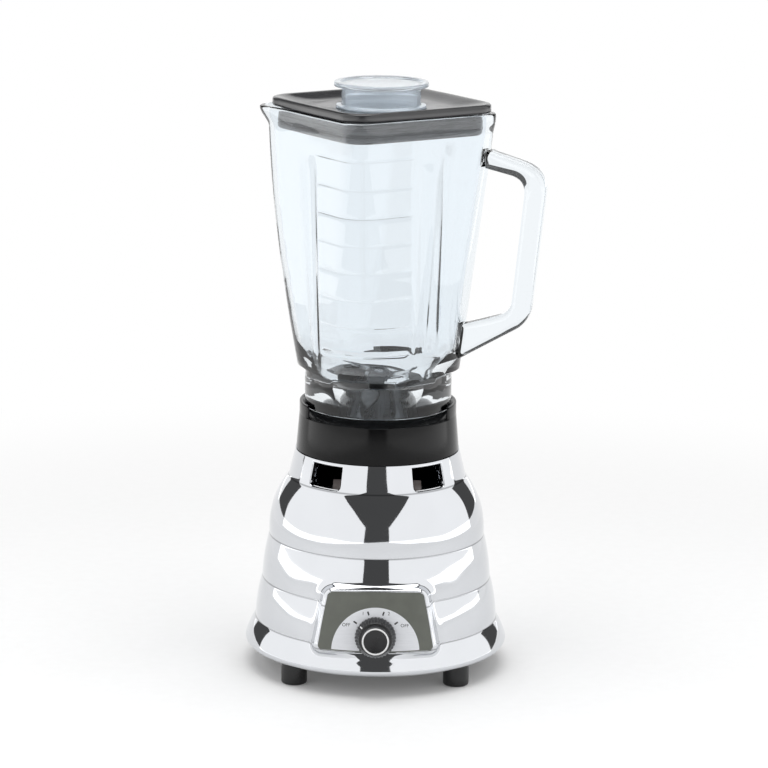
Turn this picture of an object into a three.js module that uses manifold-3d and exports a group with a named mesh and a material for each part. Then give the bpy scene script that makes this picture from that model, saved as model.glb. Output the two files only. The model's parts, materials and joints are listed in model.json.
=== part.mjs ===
// Countertop blender: a bright stepped base with a rotary switch and a universal motor, a black collar
// that holds a square glass jar, and a lid with a clear filler cap.
// Millimetres, +Z up. The origin is the middle of the whole outline, on the surface it stands on, and
// the drive axis stands a little to one side of it, because the handle and the knob reach out.
// The front, with the knob, faces -Y. The jar's handle points to +X, turned a little to the front.

import * as THREE from 'three';
import { mergeVertices } from 'three/addons/utils/BufferGeometryUtils.js';
import Module from 'manifold-3d';

const wasm = await Module();
wasm.setup();

// ---------------------------------------------------------------- driving dimensions

// Clearances
const SEAT = 0.1; // between flat faces that rest on each other
const FIT = 0.3; // round a fixed piece in its hole, and between pieces that slide apart
const AIR_GAP = 0.5; // between armature and stator

// Housing: each section's height and the radius at its lower end, from the bottom edge up
const FOOT_HEIGHT = 14.3;
const SHEET = 1.2;
const BOTTOM_EDGE_RADIUS = 85.6;
const LIP_WIDTH = 2.6;
const RIM_RADIUS = 88;
const RIM_HEIGHT = 18.2;
const RIM_BELLY_HEIGHT = 3.8;
const RIM_BULGE = 0.7;
const LOWER_RING_RADIUS = 81.2;
const LOWER_RING_HEIGHT = 28;
const LOWER_RING_BULGE = 1;
const MIDDLE_RING_RADIUS = 76.8;
const MIDDLE_RING_HEIGHT = 29.5;
const MIDDLE_RING_BULGE = 0.8;
const SHOULDER_RADIUS = 72.2;
const SHOULDER_HEIGHT = 40;
const SHOULDER_BULGE = 3.9;
const NECK_LOWER_RADIUS = 59.3;
const NECK_UPPER_RADIUS = 54.9;
const NECK_HEIGHT = 18.2;
const TOP_HOLE_RADIUS = 12;

// Vent windows in the neck
const WINDOW_START_ANGLE = 23;
const WINDOW_END_ANGLE = 51;
const WINDOW_SILL = 0.6;
const WINDOW_TOP_LEDGE = 1;
const WINDOW_CORNER = 3;
const WINDOW_CUTTER_START = 0.7; // where the cutters start, as a share of the neck's radius

// Control panel, on a flat boss that leans back
const PANEL_TILT = 7.5;
const PANEL_PROUD = 0.9;
const PANEL_AXIS_HEIGHT = 26; // knob axis above the bottom edge
const PANEL_TOP = 29.7;
const PANEL_BOTTOM = 7.9;
const PANEL_TOP_WIDTH = 62;
const PANEL_BOTTOM_WIDTH = 76;
const PANEL_BOTTOM_BOW = 2.2;
const PANEL_CORNER = 3;
const PANEL_CORNER_LEAN = 0.2; // how far a side leans out over a corner, as a share of the corner
const PANEL_BORDER = 2.4;
const BOSS_DEPTH = 20;
const BOSS_FLARE = 4;
const DIAL_PLATE_THICKNESS = 0.6;

// Switch and knob
const SWITCH_WIDTH = 22;
const SWITCH_DEPTH = 16;
const BUSHING_RADIUS = 4.7;
const BUSHING_LENGTH = 6.4;
const SWITCH_NUT_ACROSS = 13;
const SWITCH_NUT_HEIGHT = 2.4;
const SWITCH_SHAFT_RADIUS = 3;
const KNOB_RADIUS = 13.5;
const KNOB_CAP_RADIUS = 9.2;
const KNOB_HEIGHT = 17.4;
const KNOB_SKIRT_HEIGHT = 8.4;
const KNOB_SHOULDER = 1.6; // how far the top of the skirt stands outside the cap
const KNOB_WALL = 1.8;
const KNOB_RIBS = 30;
const KNOB_RIB_DEPTH = 0.5;

// Feet and bottom plate
const FOOT_RADIUS = 8.7;
const FOOT_SPACING = 107.2;
const FOOT_ROUNDING = 1.6;
const FOOT_SPIGOT_RADIUS = 6.4;
const FOOT_RECESS_DEPTH = 7;
const BOTTOM_PLATE_THICKNESS = 2;
const BOTTOM_PLATE_BOSS_HEIGHT = 8;
const SCREW_RADIUS = 2;
const SCREW_HEAD_RADIUS = 3.8;
const SCREW_HEAD_HEIGHT = 2.2;
const FOOT_SCREW_FACE = 0.7; // flat face of a foot screw, as a share of its head
const COLLAR_SCREW_HEAD = 0.8; // head of a collar screw, as a share of a foot screw's
const VENT_SLOTS = 12;
const VENT_SLOT_WIDTH = 4;
const VENT_INNER_RADIUS = 16;
const VENT_OUTER_RADIUS = 42;

// Collar
const COLLAR_HEIGHT = 24.5;
const COLLAR_TOP_RADIUS = 52.3;
const COLLAR_BOTTOM_RADIUS = 54.4;
const COLLAR_DISH = 3.3; // how far its top rises from the outer edge to the mouth
const COLLAR_WALL = 2.6;
const COLLAR_FLOOR = 3;
const COLLAR_HUB_RADIUS = 9;
const EAR_HEIGHT = 8;
const EAR_WALL = 2.2;
const EAR_HALF_ANGLE = 27;
const COLLAR_SCREW_CIRCLE = 17.5;
const COLLAR_SCREWS = 3;

// Motor
const SHAFT_RADIUS = 4;
const STACK_HEIGHT = 30;
const STATOR_LENGTH = 76;
const STATOR_WIDTH = 66;
const STATOR_CORNER = 9;
const BORE_RADIUS = 17.4;
const POLE_HALF_WIDTH = 12.5;
const POLE_NECK_START = 22.5;
const POLE_NECK_END = 30;
const SLOT_HALF_WIDTH = 21;
const POLE_HALF_ANGLE = 50;
const COIL_THICKNESS = 6.6;
const COIL_OVERHANG = 7;
const ARMATURE_SLOTS = 12;
const ARMATURE_SLOT_DEPTH = 3.2;
const ARMATURE_TOOTH = [0.1, 0.5, 0.9]; // points of a tooth, as shares of the step from slot to slot
const ARMATURE_SLOT = [0.9, 1.1]; // sides of a slot, as shares of the same step
const WINDING_RADIUS = 15;
const WINDING_HEIGHT = 9;
const WINDING_STRAIGHT = 0.6; // share of the winding's height before it tapers
const WINDING_TAPER = 4;
const COMMUTATOR_RADIUS = 11;
const COMMUTATOR_HEIGHT = 14;
const COMMUTATOR_BARS = 24;
const COMMUTATOR_BAR_END = 0.85; // as a share of the step from bar to bar
const COMMUTATOR_GROOVE_MIDDLE = 0.92;
const COMMUTATOR_GROOVE_DEPTH = 0.6;
const BRACKET_THICKNESS = 3;
const BRACKET_WIDTH = 22;
const BEARING_HEIGHT = 11;
const BEARING_WALL = 3;
const BEARING_HOUSING_WALL = 3.2;
const MOTOR_DROP = 24; // from the upper bracket to the stack
const MOTOR_TAIL = 31; // from the stack to the lower bracket
const BOLT_RADIUS = 2;
const BOLT_OFFSET = 27.8;
const LEG_RADIUS = 4.6;
const STANDOFF_HEIGHT = 7;
const BRUSH_SIZE = 5;
const BRUSH_LENGTH = 9;
const BRUSH_HOLDER_REACH = 18;
const BRUSH_HOLDER_WALL = 2;
const BRUSH_SPRING_TURNS = 4;
const BRUSH_SPRING_WIRE = 0.5;
const FAN_RADIUS = 29;
const FAN_HEIGHT = 9;
const FAN_BLADES = 9;
const FAN_BLADE_THICKNESS = 1.2;
const FAN_HUB_RADIUS = 8;
const FAN_GAP = 3;

// Drive
const SLINGER_RADIUS = 11;
const SLINGER_THICKNESS = 1;
const STUD_BASE_RADIUS = 7;
const STUD_BASE_HEIGHT = 2;
const STUD_SIDE = 8;
const STUD_HEIGHT = 9;

// Jar: the glass, from its threaded end up
const JAR_TURN = -12.3; // turn of the handle from +X about the drive axis
const GLASS_WALL = 4;
const GLASS_NECK_RADIUS = 37;
const GLASS_NECK_BORE = 30;
const GLASS_NECK_HEIGHT = 18;
const GLASS_FOOT_RADIUS = 48.9;
const GLASS_FOOT_HEIGHT = 20.5;
const GLASS_WAIST_HEIGHT = 7;
const GLASS_BODY_HEIGHT = 171;
const GLASS_WAIST_HALF_WIDTH = 49.2;
const GLASS_WAIST_DIAGONAL = 54.5;
const GLASS_TOP_HALF_WIDTH = 57.5;
const GLASS_TOP_DIAGONAL = 75.6;
const GLASS_SIDE_SWELL = 0.25; // how much sooner than a straight line the sides widen
const GLASS_CORNER_WALL = 1.15; // wall at a corner, as a share of the wall of a side
const JAR_STATIONS = [0, 8, 17, 27, 38, 42]; // degrees from a corner
const CORNER_SWELL = 1.35; // how early the corners stand out, going up the body
const CORNER_LEAN = 1.8; // at mid-height the spout corner stands further out, the handle corner less
const GLASS_BOWL_RADIUS = 41;
const GLASS_BOWL_DEPTH = 27;
const BOWL_MIDDLE = 0.4; // share of the bowl's depth where it is half open
const BOWL_BRIM = 0.85; // share of the bowl's depth where it is fully open
const RIM_BEAD = 0.9;
const SPOUT_REACH = 5.5;
const SPOUT_HEIGHT = 14;
const SPOUT_HALF_ANGLE = 15;
const FLUTE_DEPTH = 1.8;
const FLUTE_WIDTH = 5;
const FLUTE_TOP_GAP = 30;
const HANDLE_THICKNESS = 15;
const HANDLE_REACH = 110.8; // from the drive axis to the outer side of the grip
const HANDLE_LOWER_REACH = 102.4;
const HANDLE_BAR = 13;
const HANDLE_ARM = 12.5;
const HANDLE_TOP = 193.5; // above the threaded end, at the jar
const HANDLE_TOP_FALL = 11.5;
const HANDLE_FOOT = 53;
const HANDLE_FOOT_RISE = 26;
const HANDLE_ROUNDING = 2.5;
const HANDLE_FOOT_ARM = 0.45; // height of the lower arm at the bend, as a share of the upper arm
// How far from the corner each bend of the handle starts and ends
const OUTER_TOP_BEND = { along: 9, rise: 2.5, down: 11 };
const OUTER_FOOT_BEND = { up: 13, pull: 1, along: 14, down: 7 };
const INNER_FOOT_BEND = { root: 9.5, along: 8, down: 2, pull: 3, out: 1, up: 11 };
const INNER_TOP_BEND = { drift: 0.6, down: 17, pull: 0.4, soft: 8, along: 8, fall: 5 };
const HANDLE_ROOT_RISE = 2; // how much the lower arm drops at the glass

// Jar base, gasket and blade unit
const CAP_RADIUS = 43.4;
const CAP_FLOOR = 4;
const CAP_OPENING_RADIUS = 24;
const CAP_RIM_GAP = 1;
const GASKET_THICKNESS = 1.6;
const BLADE_FLANGE_THICKNESS = 2;
const BLADE_HUB_RADIUS = 11;
const BLADE_HUB_HEIGHT = 28;
const BLADE_SHAFT_RADIUS = 3;
const BLADE_BEARING_WALL = 1.8;
const SOCKET_RADIUS = 8;
const SOCKET_HEIGHT = 11;
const SOCKET_CLEARANCE = 0.4;
const WASHER_RADIUS = 6;
const WASHER_THICKNESS = 1;
const BLADE_THICKNESS = 1.5;
const BLADE_WIDTH = 12;
const BLADE_FLAT = 9;
const BLADE_EDGE_END = 0.75; // where the straight front edge of a wing ends, as a share of the wing
const BLADE_BACK_END = 0.5; // the same for the back edge
const BLADE_JOIN = 0.5; // how far a wing runs into the flat
const UPPER_BLADE_WING = 22;
const UPPER_BLADE_BEND = 42;
const LOWER_BLADE_WING = 20;
const LOWER_BLADE_BEND = -14;
const BLADE_NUT_ACROSS = 8;
const BLADE_NUT_HEIGHT = 4;

// Lid and filler cap
const LID_HALF_WIDTH = 56.4;
const LID_CORNER = 16;
const LID_BOW = 0.6;
const LID_EDGE = 6;
const LID_DISH = 5;
const LID_PLATE = 2.6;
const LID_RAMP = 15;
const LID_FOOT_BEVEL = { across: 1, up: 1.2 };
const LID_EDGE_BEVEL = { across: 1.4, down: 1.6 };
const LID_RIM_WIDTH = 4;
const LID_RIM_FALL = 0.6;
const LID_RAMP_FALL = 0.8; // what is left to fall at the foot of the ramp
const SKIRT_HEIGHT = 14;
const SKIRT_GAP = 1.2;
const SKIRT_CORNER = 13.5;
const SKIRT_WALL = 2.4;
const FILLER_CAP_RADIUS = 31.4;
const FILLER_BODY_RADIUS = 26;
const FILLER_WALL = 2;
const FILLER_CAP_HEIGHT = 16.9;
const FILLER_TOP_THICKNESS = 3;
const FILLER_TOP_RECESS = 1.2;
const FILLER_FLANGE_RADIUS = 29.8;
const FILLER_FLANGE_THICKNESS = 1.8;
const FILLER_SPIGOT = 11;

// Cord inlet
const INLET_HEIGHT = 30;
const INLET_BORE_RADIUS = 3.6;
const INLET_RADIUS = 6;
const INLET_FLANGE_RADIUS = 8.5;
const INLET_FLANGE = 3;

// Facets round a full circle
const LARGE_ROUND = 44;
const MEDIUM_ROUND = 32;
const SMALL_ROUND = 16;
const TINY_ROUND = 10;

// ---------------------------------------------------------------- places worked out from them

const housingBottomZ = FOOT_HEIGHT;
const lowerRingZ = housingBottomZ + RIM_HEIGHT;
const middleRingZ = lowerRingZ + LOWER_RING_HEIGHT;
const shoulderZ = middleRingZ + MIDDLE_RING_HEIGHT;
const neckZ = shoulderZ + SHOULDER_HEIGHT;
const housingTopZ = neckZ + NECK_HEIGHT;
const collarZ = housingTopZ + SEAT;
const collarFloorZ = collarZ + COLLAR_FLOOR;
const wellRadius = CAP_RADIUS + FIT;
const upperBracketZ = housingTopZ - SHEET - SEAT - STANDOFF_HEIGHT - BRACKET_THICKNESS;
const stackTopZ = upperBracketZ - MOTOR_DROP;
const stackZ = stackTopZ - STACK_HEIGHT;
const lowerBracketZ = stackZ - MOTOR_TAIL;
const commutatorZ = stackZ - WINDING_HEIGHT - SEAT * 2 - COMMUTATOR_HEIGHT;
const lowerBearingZ = lowerBracketZ + BRACKET_THICKNESS - BEARING_HEIGHT;
const fanZ = lowerBearingZ - FAN_GAP - FAN_HEIGHT;
const slingerZ = collarFloorZ + FIT;
const studZ = slingerZ + SLINGER_THICKNESS + SEAT;
const bottomPlateZ = housingBottomZ + SHEET + SEAT;
const footInset = FOOT_SPACING / 2;

const jarZ = collarFloorZ + FIT; // the underside of the jar base
const bladeFlangeZ = CAP_FLOOR + SEAT;
const gasketZ = bladeFlangeZ + BLADE_FLANGE_THICKNESS + SEAT;
const glassZ = gasketZ + GASKET_THICKNESS + SEAT;
const glassFootZ = glassZ + GLASS_NECK_HEIGHT;
const glassWaistZ = glassFootZ + GLASS_FOOT_HEIGHT;
const glassBodyZ = glassWaistZ + GLASS_WAIST_HEIGHT;
const glassTopZ = glassBodyZ + GLASS_BODY_HEIGHT;
const bladeHubTopZ = bladeFlangeZ + BLADE_HUB_HEIGHT;
const socketZ = studZ + STUD_BASE_HEIGHT + FIT * 3 - jarZ;
const lidZ = glassTopZ + SEAT;
const fillerZ = lidZ + LID_EDGE - LID_DISH + SEAT;

const panelZ = housingBottomZ + PANEL_AXIS_HEIGHT;
const panelY = -(ringRadiusAt(panelZ) + PANEL_PROUD);
const knobReach = -panelY + DIAL_PLATE_THICKNESS + FIT + KNOB_HEIGHT;
const jarTurn = THREE.MathUtils.degToRad(JAR_TURN);
const handleReachX = HANDLE_REACH * Math.cos(jarTurn) + (HANDLE_THICKNESS / 2) * Math.abs(Math.sin(jarTurn));
const driveAxisX = (RIM_RADIUS - handleReachX) / 2;
const driveAxisY = (knobReach - RIM_RADIUS) / 2;

// ---------------------------------------------------------------- solids

function degrees(angle) {
  return THREE.MathUtils.degToRad(angle);
}

function point(x, y) {
  return new THREE.Vector2(x, y);
}

function polar(radius, angle) {
  return point(radius * Math.cos(angle), radius * Math.sin(angle));
}

function signedVolume(positions, triangles) {
  let volume = 0;
  const corner = (index) => new THREE.Vector3().fromArray(positions, index * 3);
  for (let t = 0; t < triangles.length; t += 3) {
    const [a, b, c] = [triangles[t], triangles[t + 1], triangles[t + 2]].map(corner);
    volume += a.dot(b.cross(c)) / 6;
  }
  return volume;
}

// A closed surface with its shared corners merged and its faces pointing out
function closed(geometry) {
  const bare = geometry.clone();
  bare.deleteAttribute('normal');
  bare.deleteAttribute('uv');
  const merged = mergeVertices(bare, 1e-4);
  const positions = merged.attributes.position.array;
  const triangles = [];
  for (let t = 0; t < merged.index.count; t += 3) {
    const [a, b, c] = [0, 1, 2].map((corner) => merged.index.getX(t + corner));
    if (a !== b && b !== c && c !== a) {
      triangles.push(a, b, c);
    }
  }
  if (signedVolume(positions, triangles) < 0) {
    triangles.reverse();
  }
  merged.setIndex(triangles);
  return merged;
}

function toManifold(geometry) {
  const shape = closed(geometry);
  const mesh = new wasm.Mesh({
    numProp: 3,
    vertProperties: new Float32Array(shape.attributes.position.array),
    triVerts: new Uint32Array(shape.index.array),
  });
  return new wasm.Manifold(mesh);
}

function toGeometry(manifold) {
  const mesh = manifold.getMesh();
  const geometry = new THREE.BufferGeometry();
  geometry.setAttribute('position', new THREE.BufferAttribute(mesh.vertProperties, mesh.numProp));
  geometry.setIndex(new THREE.BufferAttribute(mesh.triVerts, 1));
  return geometry;
}

function join(first, ...others) {
  return toGeometry(others.reduce((sum, other) => sum.add(toManifold(other)), toManifold(first)));
}

function cut(body, ...tools) {
  return toGeometry(tools.reduce((rest, tool) => rest.subtract(toManifold(tool)), toManifold(body)));
}

// Turns a profile of [radius, height] points about +Z
function turned(profile, segments, closeProfile = false) {
  const points = profile.map(([radius, height]) => point(radius, height));
  if (closeProfile) {
    points.push(points[0].clone());
  }
  return closed(new THREE.LatheGeometry(points, segments).rotateX(Math.PI / 2));
}

function cylinder(radius, lowZ, highZ, segments = SMALL_ROUND) {
  return turned([[0, lowZ], [radius, lowZ], [radius, highZ], [0, highZ]], segments);
}

function tube(outerRadius, innerRadius, lowZ, highZ, segments = SMALL_ROUND) {
  const profile = [[innerRadius, lowZ], [outerRadius, lowZ], [outerRadius, highZ], [innerRadius, highZ]];
  return turned(profile, segments, true);
}

function box(lowX, highX, lowY, highY, lowZ, highZ) {
  const geometry = new THREE.BoxGeometry(highX - lowX, highY - lowY, highZ - lowZ);
  return geometry.translate((lowX + highX) / 2, (lowY + highY) / 2, (lowZ + highZ) / 2);
}

// A flat plate with holes. Outlines are lists of points or shapes, in either direction.
function plate(outline, holes, lowZ, highZ, curveSegments = 6) {
  const drawn = outline instanceof THREE.Shape ? outline.getPoints(curveSegments) : outline;
  const clockwise = THREE.ShapeUtils.isClockWise(drawn);
  const shape = new THREE.Shape(clockwise ? drawn.slice().reverse() : drawn);
  shape.holes.push(...holes.map((hole) => new THREE.Path(hole)));
  const settings = { depth: highZ - lowZ, bevelEnabled: false };
  return closed(new THREE.ExtrudeGeometry(shape, settings).translate(0, 0, lowZ));
}

function polygon(sides, radius, firstAngle = 0) {
  return Array.from({ length: sides }, (_, i) => polar(radius, firstAngle + (i * 2 * Math.PI) / sides));
}

function hexagon(acrossFlats) {
  return polygon(6, acrossFlats / 2 / Math.cos(Math.PI / 6));
}

// Joins rows of points into one skin: cyclic rows close on themselves, others get flat ends
function loft(outlines, cyclic) {
  const clockwise = THREE.ShapeUtils.isClockWise(outlines[0]);
  const rows = clockwise ? outlines.map((row) => row.slice().reverse()) : outlines;
  const count = rows[0].length;
  const positions = rows.flatMap((row) => row.flatMap((p) => [p.x, p.y, p.z]));
  const triangles = [];
  const steps = cyclic ? rows.length : rows.length - 1;
  for (let j = 0; j < steps; j += 1) {
    const low = j * count;
    const high = ((j + 1) % rows.length) * count;
    for (let i = 0; i < count; i += 1) {
      const next = (i + 1) % count;
      triangles.push(low + i, low + next, high + next);
      triangles.push(low + i, high + next, high + i);
    }
  }
  if (!cyclic) {
    const last = (rows.length - 1) * count;
    const cap = (row) => THREE.ShapeUtils.triangulateShape(row.map((p) => point(p.x, p.y)), []);
    cap(rows[0]).forEach(([a, b, c]) => triangles.push(c, b, a));
    cap(rows.at(-1)).forEach(([a, b, c]) => triangles.push(last + a, last + b, last + c));
  }
  const geometry = new THREE.BufferGeometry();
  geometry.setAttribute('position', new THREE.Float32BufferAttribute(positions, 3));
  geometry.setIndex(triangles);
  return closed(geometry);
}

function atHeight(outline, height) {
  return outline.map((p) => new THREE.Vector3(p.x, p.y, height));
}

// Points of a shallow arc from start to end, bulging to the left of its direction by the given height
function arcPoints(start, end, bulge, steps) {
  const [startRadius, startZ] = start;
  const [endRadius, endZ] = end;
  const length = Math.hypot(endRadius - startRadius, endZ - startZ);
  const normal = [(endZ - startZ) / length, (startRadius - endRadius) / length];
  return Array.from({ length: steps + 1 }, (_, i) => {
    const t = i / steps;
    const rise = 4 * bulge * t * (1 - t);
    const radius = startRadius + (endRadius - startRadius) * t + normal[0] * rise;
    return [radius, startZ + (endZ - startZ) * t + normal[1] * rise];
  });
}

function add(name, geometry, look, group) {
  const material = new THREE.MeshStandardMaterial(look);
  const mesh = new THREE.Mesh(closed(geometry), material);
  mesh.name = name;
  group.add(mesh);
  return mesh;
}

// ---------------------------------------------------------------- looks

const CHROME = { color: 0xdfe1e3, roughness: 0.05, metalness: 1 };
const BLACK_PLASTIC = { color: 0x131313, roughness: 0.35, metalness: 0 };
const LID_PLASTIC = { color: 0x35363a, roughness: 0.28, metalness: 0 };
const DIAL_PRINT = { color: 0x5f615a, roughness: 0.4, metalness: 0.2 };
const RUBBER = { color: 0x0d0d0d, roughness: 0.75, metalness: 0 };
const GLASS = { color: 0xeef3f8, roughness: 0.03, metalness: 0, transparent: true, opacity: 0.35 };
const CLEAR_PLASTIC = { color: 0xf2f4f6, roughness: 0.08, metalness: 0, transparent: true, opacity: 0.4 };
const STEEL = { color: 0xa9abae, roughness: 0.3, metalness: 1 };
const BLADE_STEEL = { color: 0xc4c6c8, roughness: 0.18, metalness: 1 };
const CAST_ALUMINIUM = { color: 0x9b9da0, roughness: 0.5, metalness: 1 };
const LAMINATION = { color: 0x55565a, roughness: 0.5, metalness: 0.8 };
const COPPER = { color: 0xb06a3c, roughness: 0.4, metalness: 0.9 };
const BRONZE = { color: 0xa07a45, roughness: 0.4, metalness: 1 };
const CARBON = { color: 0x202124, roughness: 0.7, metalness: 0 };
const INSULATION = { color: 0x6a4a32, roughness: 0.6, metalness: 0 };

// ---------------------------------------------------------------- housing

function lowerRingArc(steps) {
  const lower = [LOWER_RING_RADIUS, lowerRingZ];
  return arcPoints(lower, [MIDDLE_RING_RADIUS, middleRingZ], LOWER_RING_BULGE, steps);
}

function ringRadiusAt(height) {
  const arc = lowerRingArc(6);
  const above = arc.findIndex(([, z]) => z >= height);
  const upper = Math.min(Math.max(above, 1), arc.length - 1);
  const [lowRadius, lowZ] = arc[upper - 1];
  const [highRadius, highZ] = arc[upper];
  return lowRadius + ((highRadius - lowRadius) * (height - lowZ)) / (highZ - lowZ);
}

// Outer face from the rolled bottom edge to the top plate, with the given steps in each ring
function housingProfile(steps) {
  const bottomEdge = [BOTTOM_EDGE_RADIUS, housingBottomZ];
  const belly = [RIM_RADIUS, housingBottomZ + RIM_BELLY_HEIGHT];
  const lowerRing = [LOWER_RING_RADIUS, lowerRingZ];
  const middleRing = [MIDDLE_RING_RADIUS, middleRingZ];
  const shoulder = [SHOULDER_RADIUS, shoulderZ];
  const neck = [NECK_LOWER_RADIUS, neckZ];
  return [
    ...arcPoints(bottomEdge, belly, RIM_BULGE, 2),
    ...arcPoints(belly, lowerRing, RIM_BULGE, steps).slice(1, -1),
    ...lowerRingArc(steps).slice(0, -1),
    ...arcPoints(middleRing, shoulder, MIDDLE_RING_BULGE, steps).slice(0, -1),
    ...arcPoints(shoulder, neck, SHOULDER_BULGE, steps * 2),
    [NECK_UPPER_RADIUS, housingTopZ],
  ];
}

// A profile moved in by the sheet's thickness, square to its own direction at each point
function movedIn(profile, distance) {
  return profile.map(([radius, height], index) => {
    const [beforeRadius, beforeZ] = profile[Math.max(index - 1, 0)];
    const [afterRadius, afterZ] = profile[Math.min(index + 1, profile.length - 1)];
    const length = Math.hypot(afterRadius - beforeRadius, afterZ - beforeZ);
    const sideways = (afterZ - beforeZ) / length;
    const down = (afterRadius - beforeRadius) / length;
    return [radius - distance * sideways, height + distance * down];
  });
}

// Inner face: the outer one moved in by the sheet, above the lip that carries the bottom plate
function housingInnerProfile() {
  const innerTop = housingTopZ - SHEET;
  const lipRadius = BOTTOM_EDGE_RADIUS - LIP_WIDTH;
  const wall = movedIn(housingProfile(2), SHEET)
    .filter(([, z]) => z > housingBottomZ + 2 * SHEET && z < innerTop - SHEET);
  return [
    [0, housingBottomZ - 1],
    [lipRadius, housingBottomZ - 1],
    [lipRadius, housingBottomZ + SHEET],
    [BOTTOM_EDGE_RADIUS - SHEET / 2, housingBottomZ + SHEET],
    ...wall,
    [NECK_UPPER_RADIUS - SHEET, innerTop],
    [0, innerTop],
  ];
}

function panelOutline(margin) {
  const half = (width) => width / 2 + margin;
  const top = PANEL_TOP + margin;
  const bottom = -PANEL_BOTTOM - margin;
  const corner = PANEL_CORNER + margin / 2;
  const lean = corner * PANEL_CORNER_LEAN;
  const shape = new THREE.Shape();
  shape.moveTo(-half(PANEL_TOP_WIDTH) + corner, top);
  shape.lineTo(half(PANEL_TOP_WIDTH) - corner, top);
  shape.quadraticCurveTo(half(PANEL_TOP_WIDTH), top, half(PANEL_TOP_WIDTH) + lean, top - corner);
  shape.lineTo(half(PANEL_BOTTOM_WIDTH) - lean, bottom + corner);
  shape.quadraticCurveTo(half(PANEL_BOTTOM_WIDTH), bottom, half(PANEL_BOTTOM_WIDTH) - corner, bottom);
  shape.quadraticCurveTo(0, bottom - 2 * PANEL_BOTTOM_BOW, -half(PANEL_BOTTOM_WIDTH) + corner, bottom);
  shape.quadraticCurveTo(-half(PANEL_BOTTOM_WIDTH), bottom, -half(PANEL_BOTTOM_WIDTH) + lean, bottom + corner);
  shape.lineTo(-half(PANEL_TOP_WIDTH) - lean, top - corner);
  shape.quadraticCurveTo(-half(PANEL_TOP_WIDTH), top, -half(PANEL_TOP_WIDTH) + corner, top);
  return shape.getPoints(4).slice(0, -1);
}

// The panel's own frame: +X to the right, +Y up the panel, +Z out of it, origin on the knob axis
function panelMatrix() {
  const matrix = new THREE.Matrix4().makeRotationX(degrees(90 - PANEL_TILT));
  return matrix.setPosition(0, panelY, panelZ);
}

function panelBoss(margin, frontDepth) {
  const rows = [
    atHeight(panelOutline(margin + BOSS_FLARE), -BOSS_DEPTH),
    atHeight(panelOutline(margin), -frontDepth),
  ];
  return loft(rows, false).applyMatrix4(panelMatrix());
}

// Four windows through the neck, two in front and two behind, with rounded lower corners
function neckWindows() {
  const sill = neckZ + WINDOW_SILL;
  const head = housingTopZ - SHEET - WINDOW_TOP_LEDGE;
  const halfSpan = (degrees(WINDOW_END_ANGLE - WINDOW_START_ANGLE) / 2) * NECK_LOWER_RADIUS;
  const shape = new THREE.Shape();
  shape.moveTo(-halfSpan, head);
  shape.lineTo(-halfSpan, sill + WINDOW_CORNER);
  shape.quadraticCurveTo(-halfSpan, sill, -halfSpan + WINDOW_CORNER, sill);
  shape.lineTo(halfSpan - WINDOW_CORNER, sill);
  shape.quadraticCurveTo(halfSpan, sill, halfSpan, sill + WINDOW_CORNER);
  shape.lineTo(halfSpan, head);
  const middle = (WINDOW_START_ANGLE + WINDOW_END_ANGLE) / 2;
  return [middle, -middle, 180 + middle, 180 - middle].map((angle) => {
    const window = plate(shape.clone(), [], NECK_UPPER_RADIUS * WINDOW_CUTTER_START, RIM_RADIUS, 3);
    return window.rotateX(Math.PI / 2).rotateZ(degrees(angle));
  });
}

function collarScrewPlaces() {
  return polygon(COLLAR_SCREWS, COLLAR_SCREW_CIRCLE, Math.PI / 2);
}

function inletMatrix() {
  const height = housingBottomZ + INLET_HEIGHT;
  const wallTilt = Math.atan2(LOWER_RING_RADIUS - MIDDLE_RING_RADIUS, LOWER_RING_HEIGHT);
  const matrix = new THREE.Matrix4().makeRotationX(-Math.PI / 2 + wallTilt);
  return matrix.setPosition(0, ringRadiusAt(height), height);
}

function buildHousing(base) {
  const outer = [[0, housingBottomZ], ...housingProfile(3), [0, housingTopZ]];
  const outside = join(turned(outer, LARGE_ROUND), panelBoss(PANEL_BORDER, 0));
  const inside = join(turned(housingInnerProfile(), LARGE_ROUND), panelBoss(PANEL_BORDER - SHEET, SHEET));
  const screwHole = (place) => {
    return cylinder(SCREW_RADIUS + FIT, housingTopZ - 3 * SHEET, housingTopZ + SHEET, TINY_ROUND)
      .translate(place.x, place.y, 0);
  };
  const shell = cut(
    outside,
    inside,
    cylinder(TOP_HOLE_RADIUS, housingTopZ - 3 * SHEET, housingTopZ + SHEET),
    cylinder(BUSHING_RADIUS + FIT, -BOSS_DEPTH, BOSS_DEPTH).applyMatrix4(panelMatrix()),
    cylinder(INLET_RADIUS + FIT, -BOSS_DEPTH, BOSS_DEPTH).applyMatrix4(inletMatrix()),
    ...collarScrewPlaces().map(screwHole),
    ...neckWindows(),
  );
  add('base_housing', shell, CHROME, base);
}

function buildCordInlet(base) {
  const wallSag = INLET_FLANGE_RADIUS ** 2 / (2 * MIDDLE_RING_RADIUS);
  const halfGrip = SHEET / 2 + 2 * FIT + wallSag;
  const bush = turned([
    [INLET_BORE_RADIUS, -halfGrip - INLET_FLANGE],
    [INLET_FLANGE_RADIUS - 1, -halfGrip - INLET_FLANGE],
    [INLET_FLANGE_RADIUS, -halfGrip],
    [INLET_RADIUS, -halfGrip],
    [INLET_RADIUS, halfGrip],
    [INLET_FLANGE_RADIUS, halfGrip],
    [INLET_FLANGE_RADIUS - 1.5, halfGrip + INLET_FLANGE],
    [INLET_BORE_RADIUS, halfGrip + INLET_FLANGE],
  ], SMALL_ROUND, true);
  bush.translate(0, 0, -SHEET / 2).applyMatrix4(inletMatrix());
  add('cord_inlet_bush', bush, RUBBER, base);
}

// ---------------------------------------------------------------- bottom plate and feet

function footPlaces() {
  return [['front_left', -1, -1], ['front_right', 1, -1], ['rear_right', 1, 1], ['rear_left', -1, 1]]
    .map(([name, x, y]) => ({ name, x: x * footInset, y: y * footInset }));
}

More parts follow.
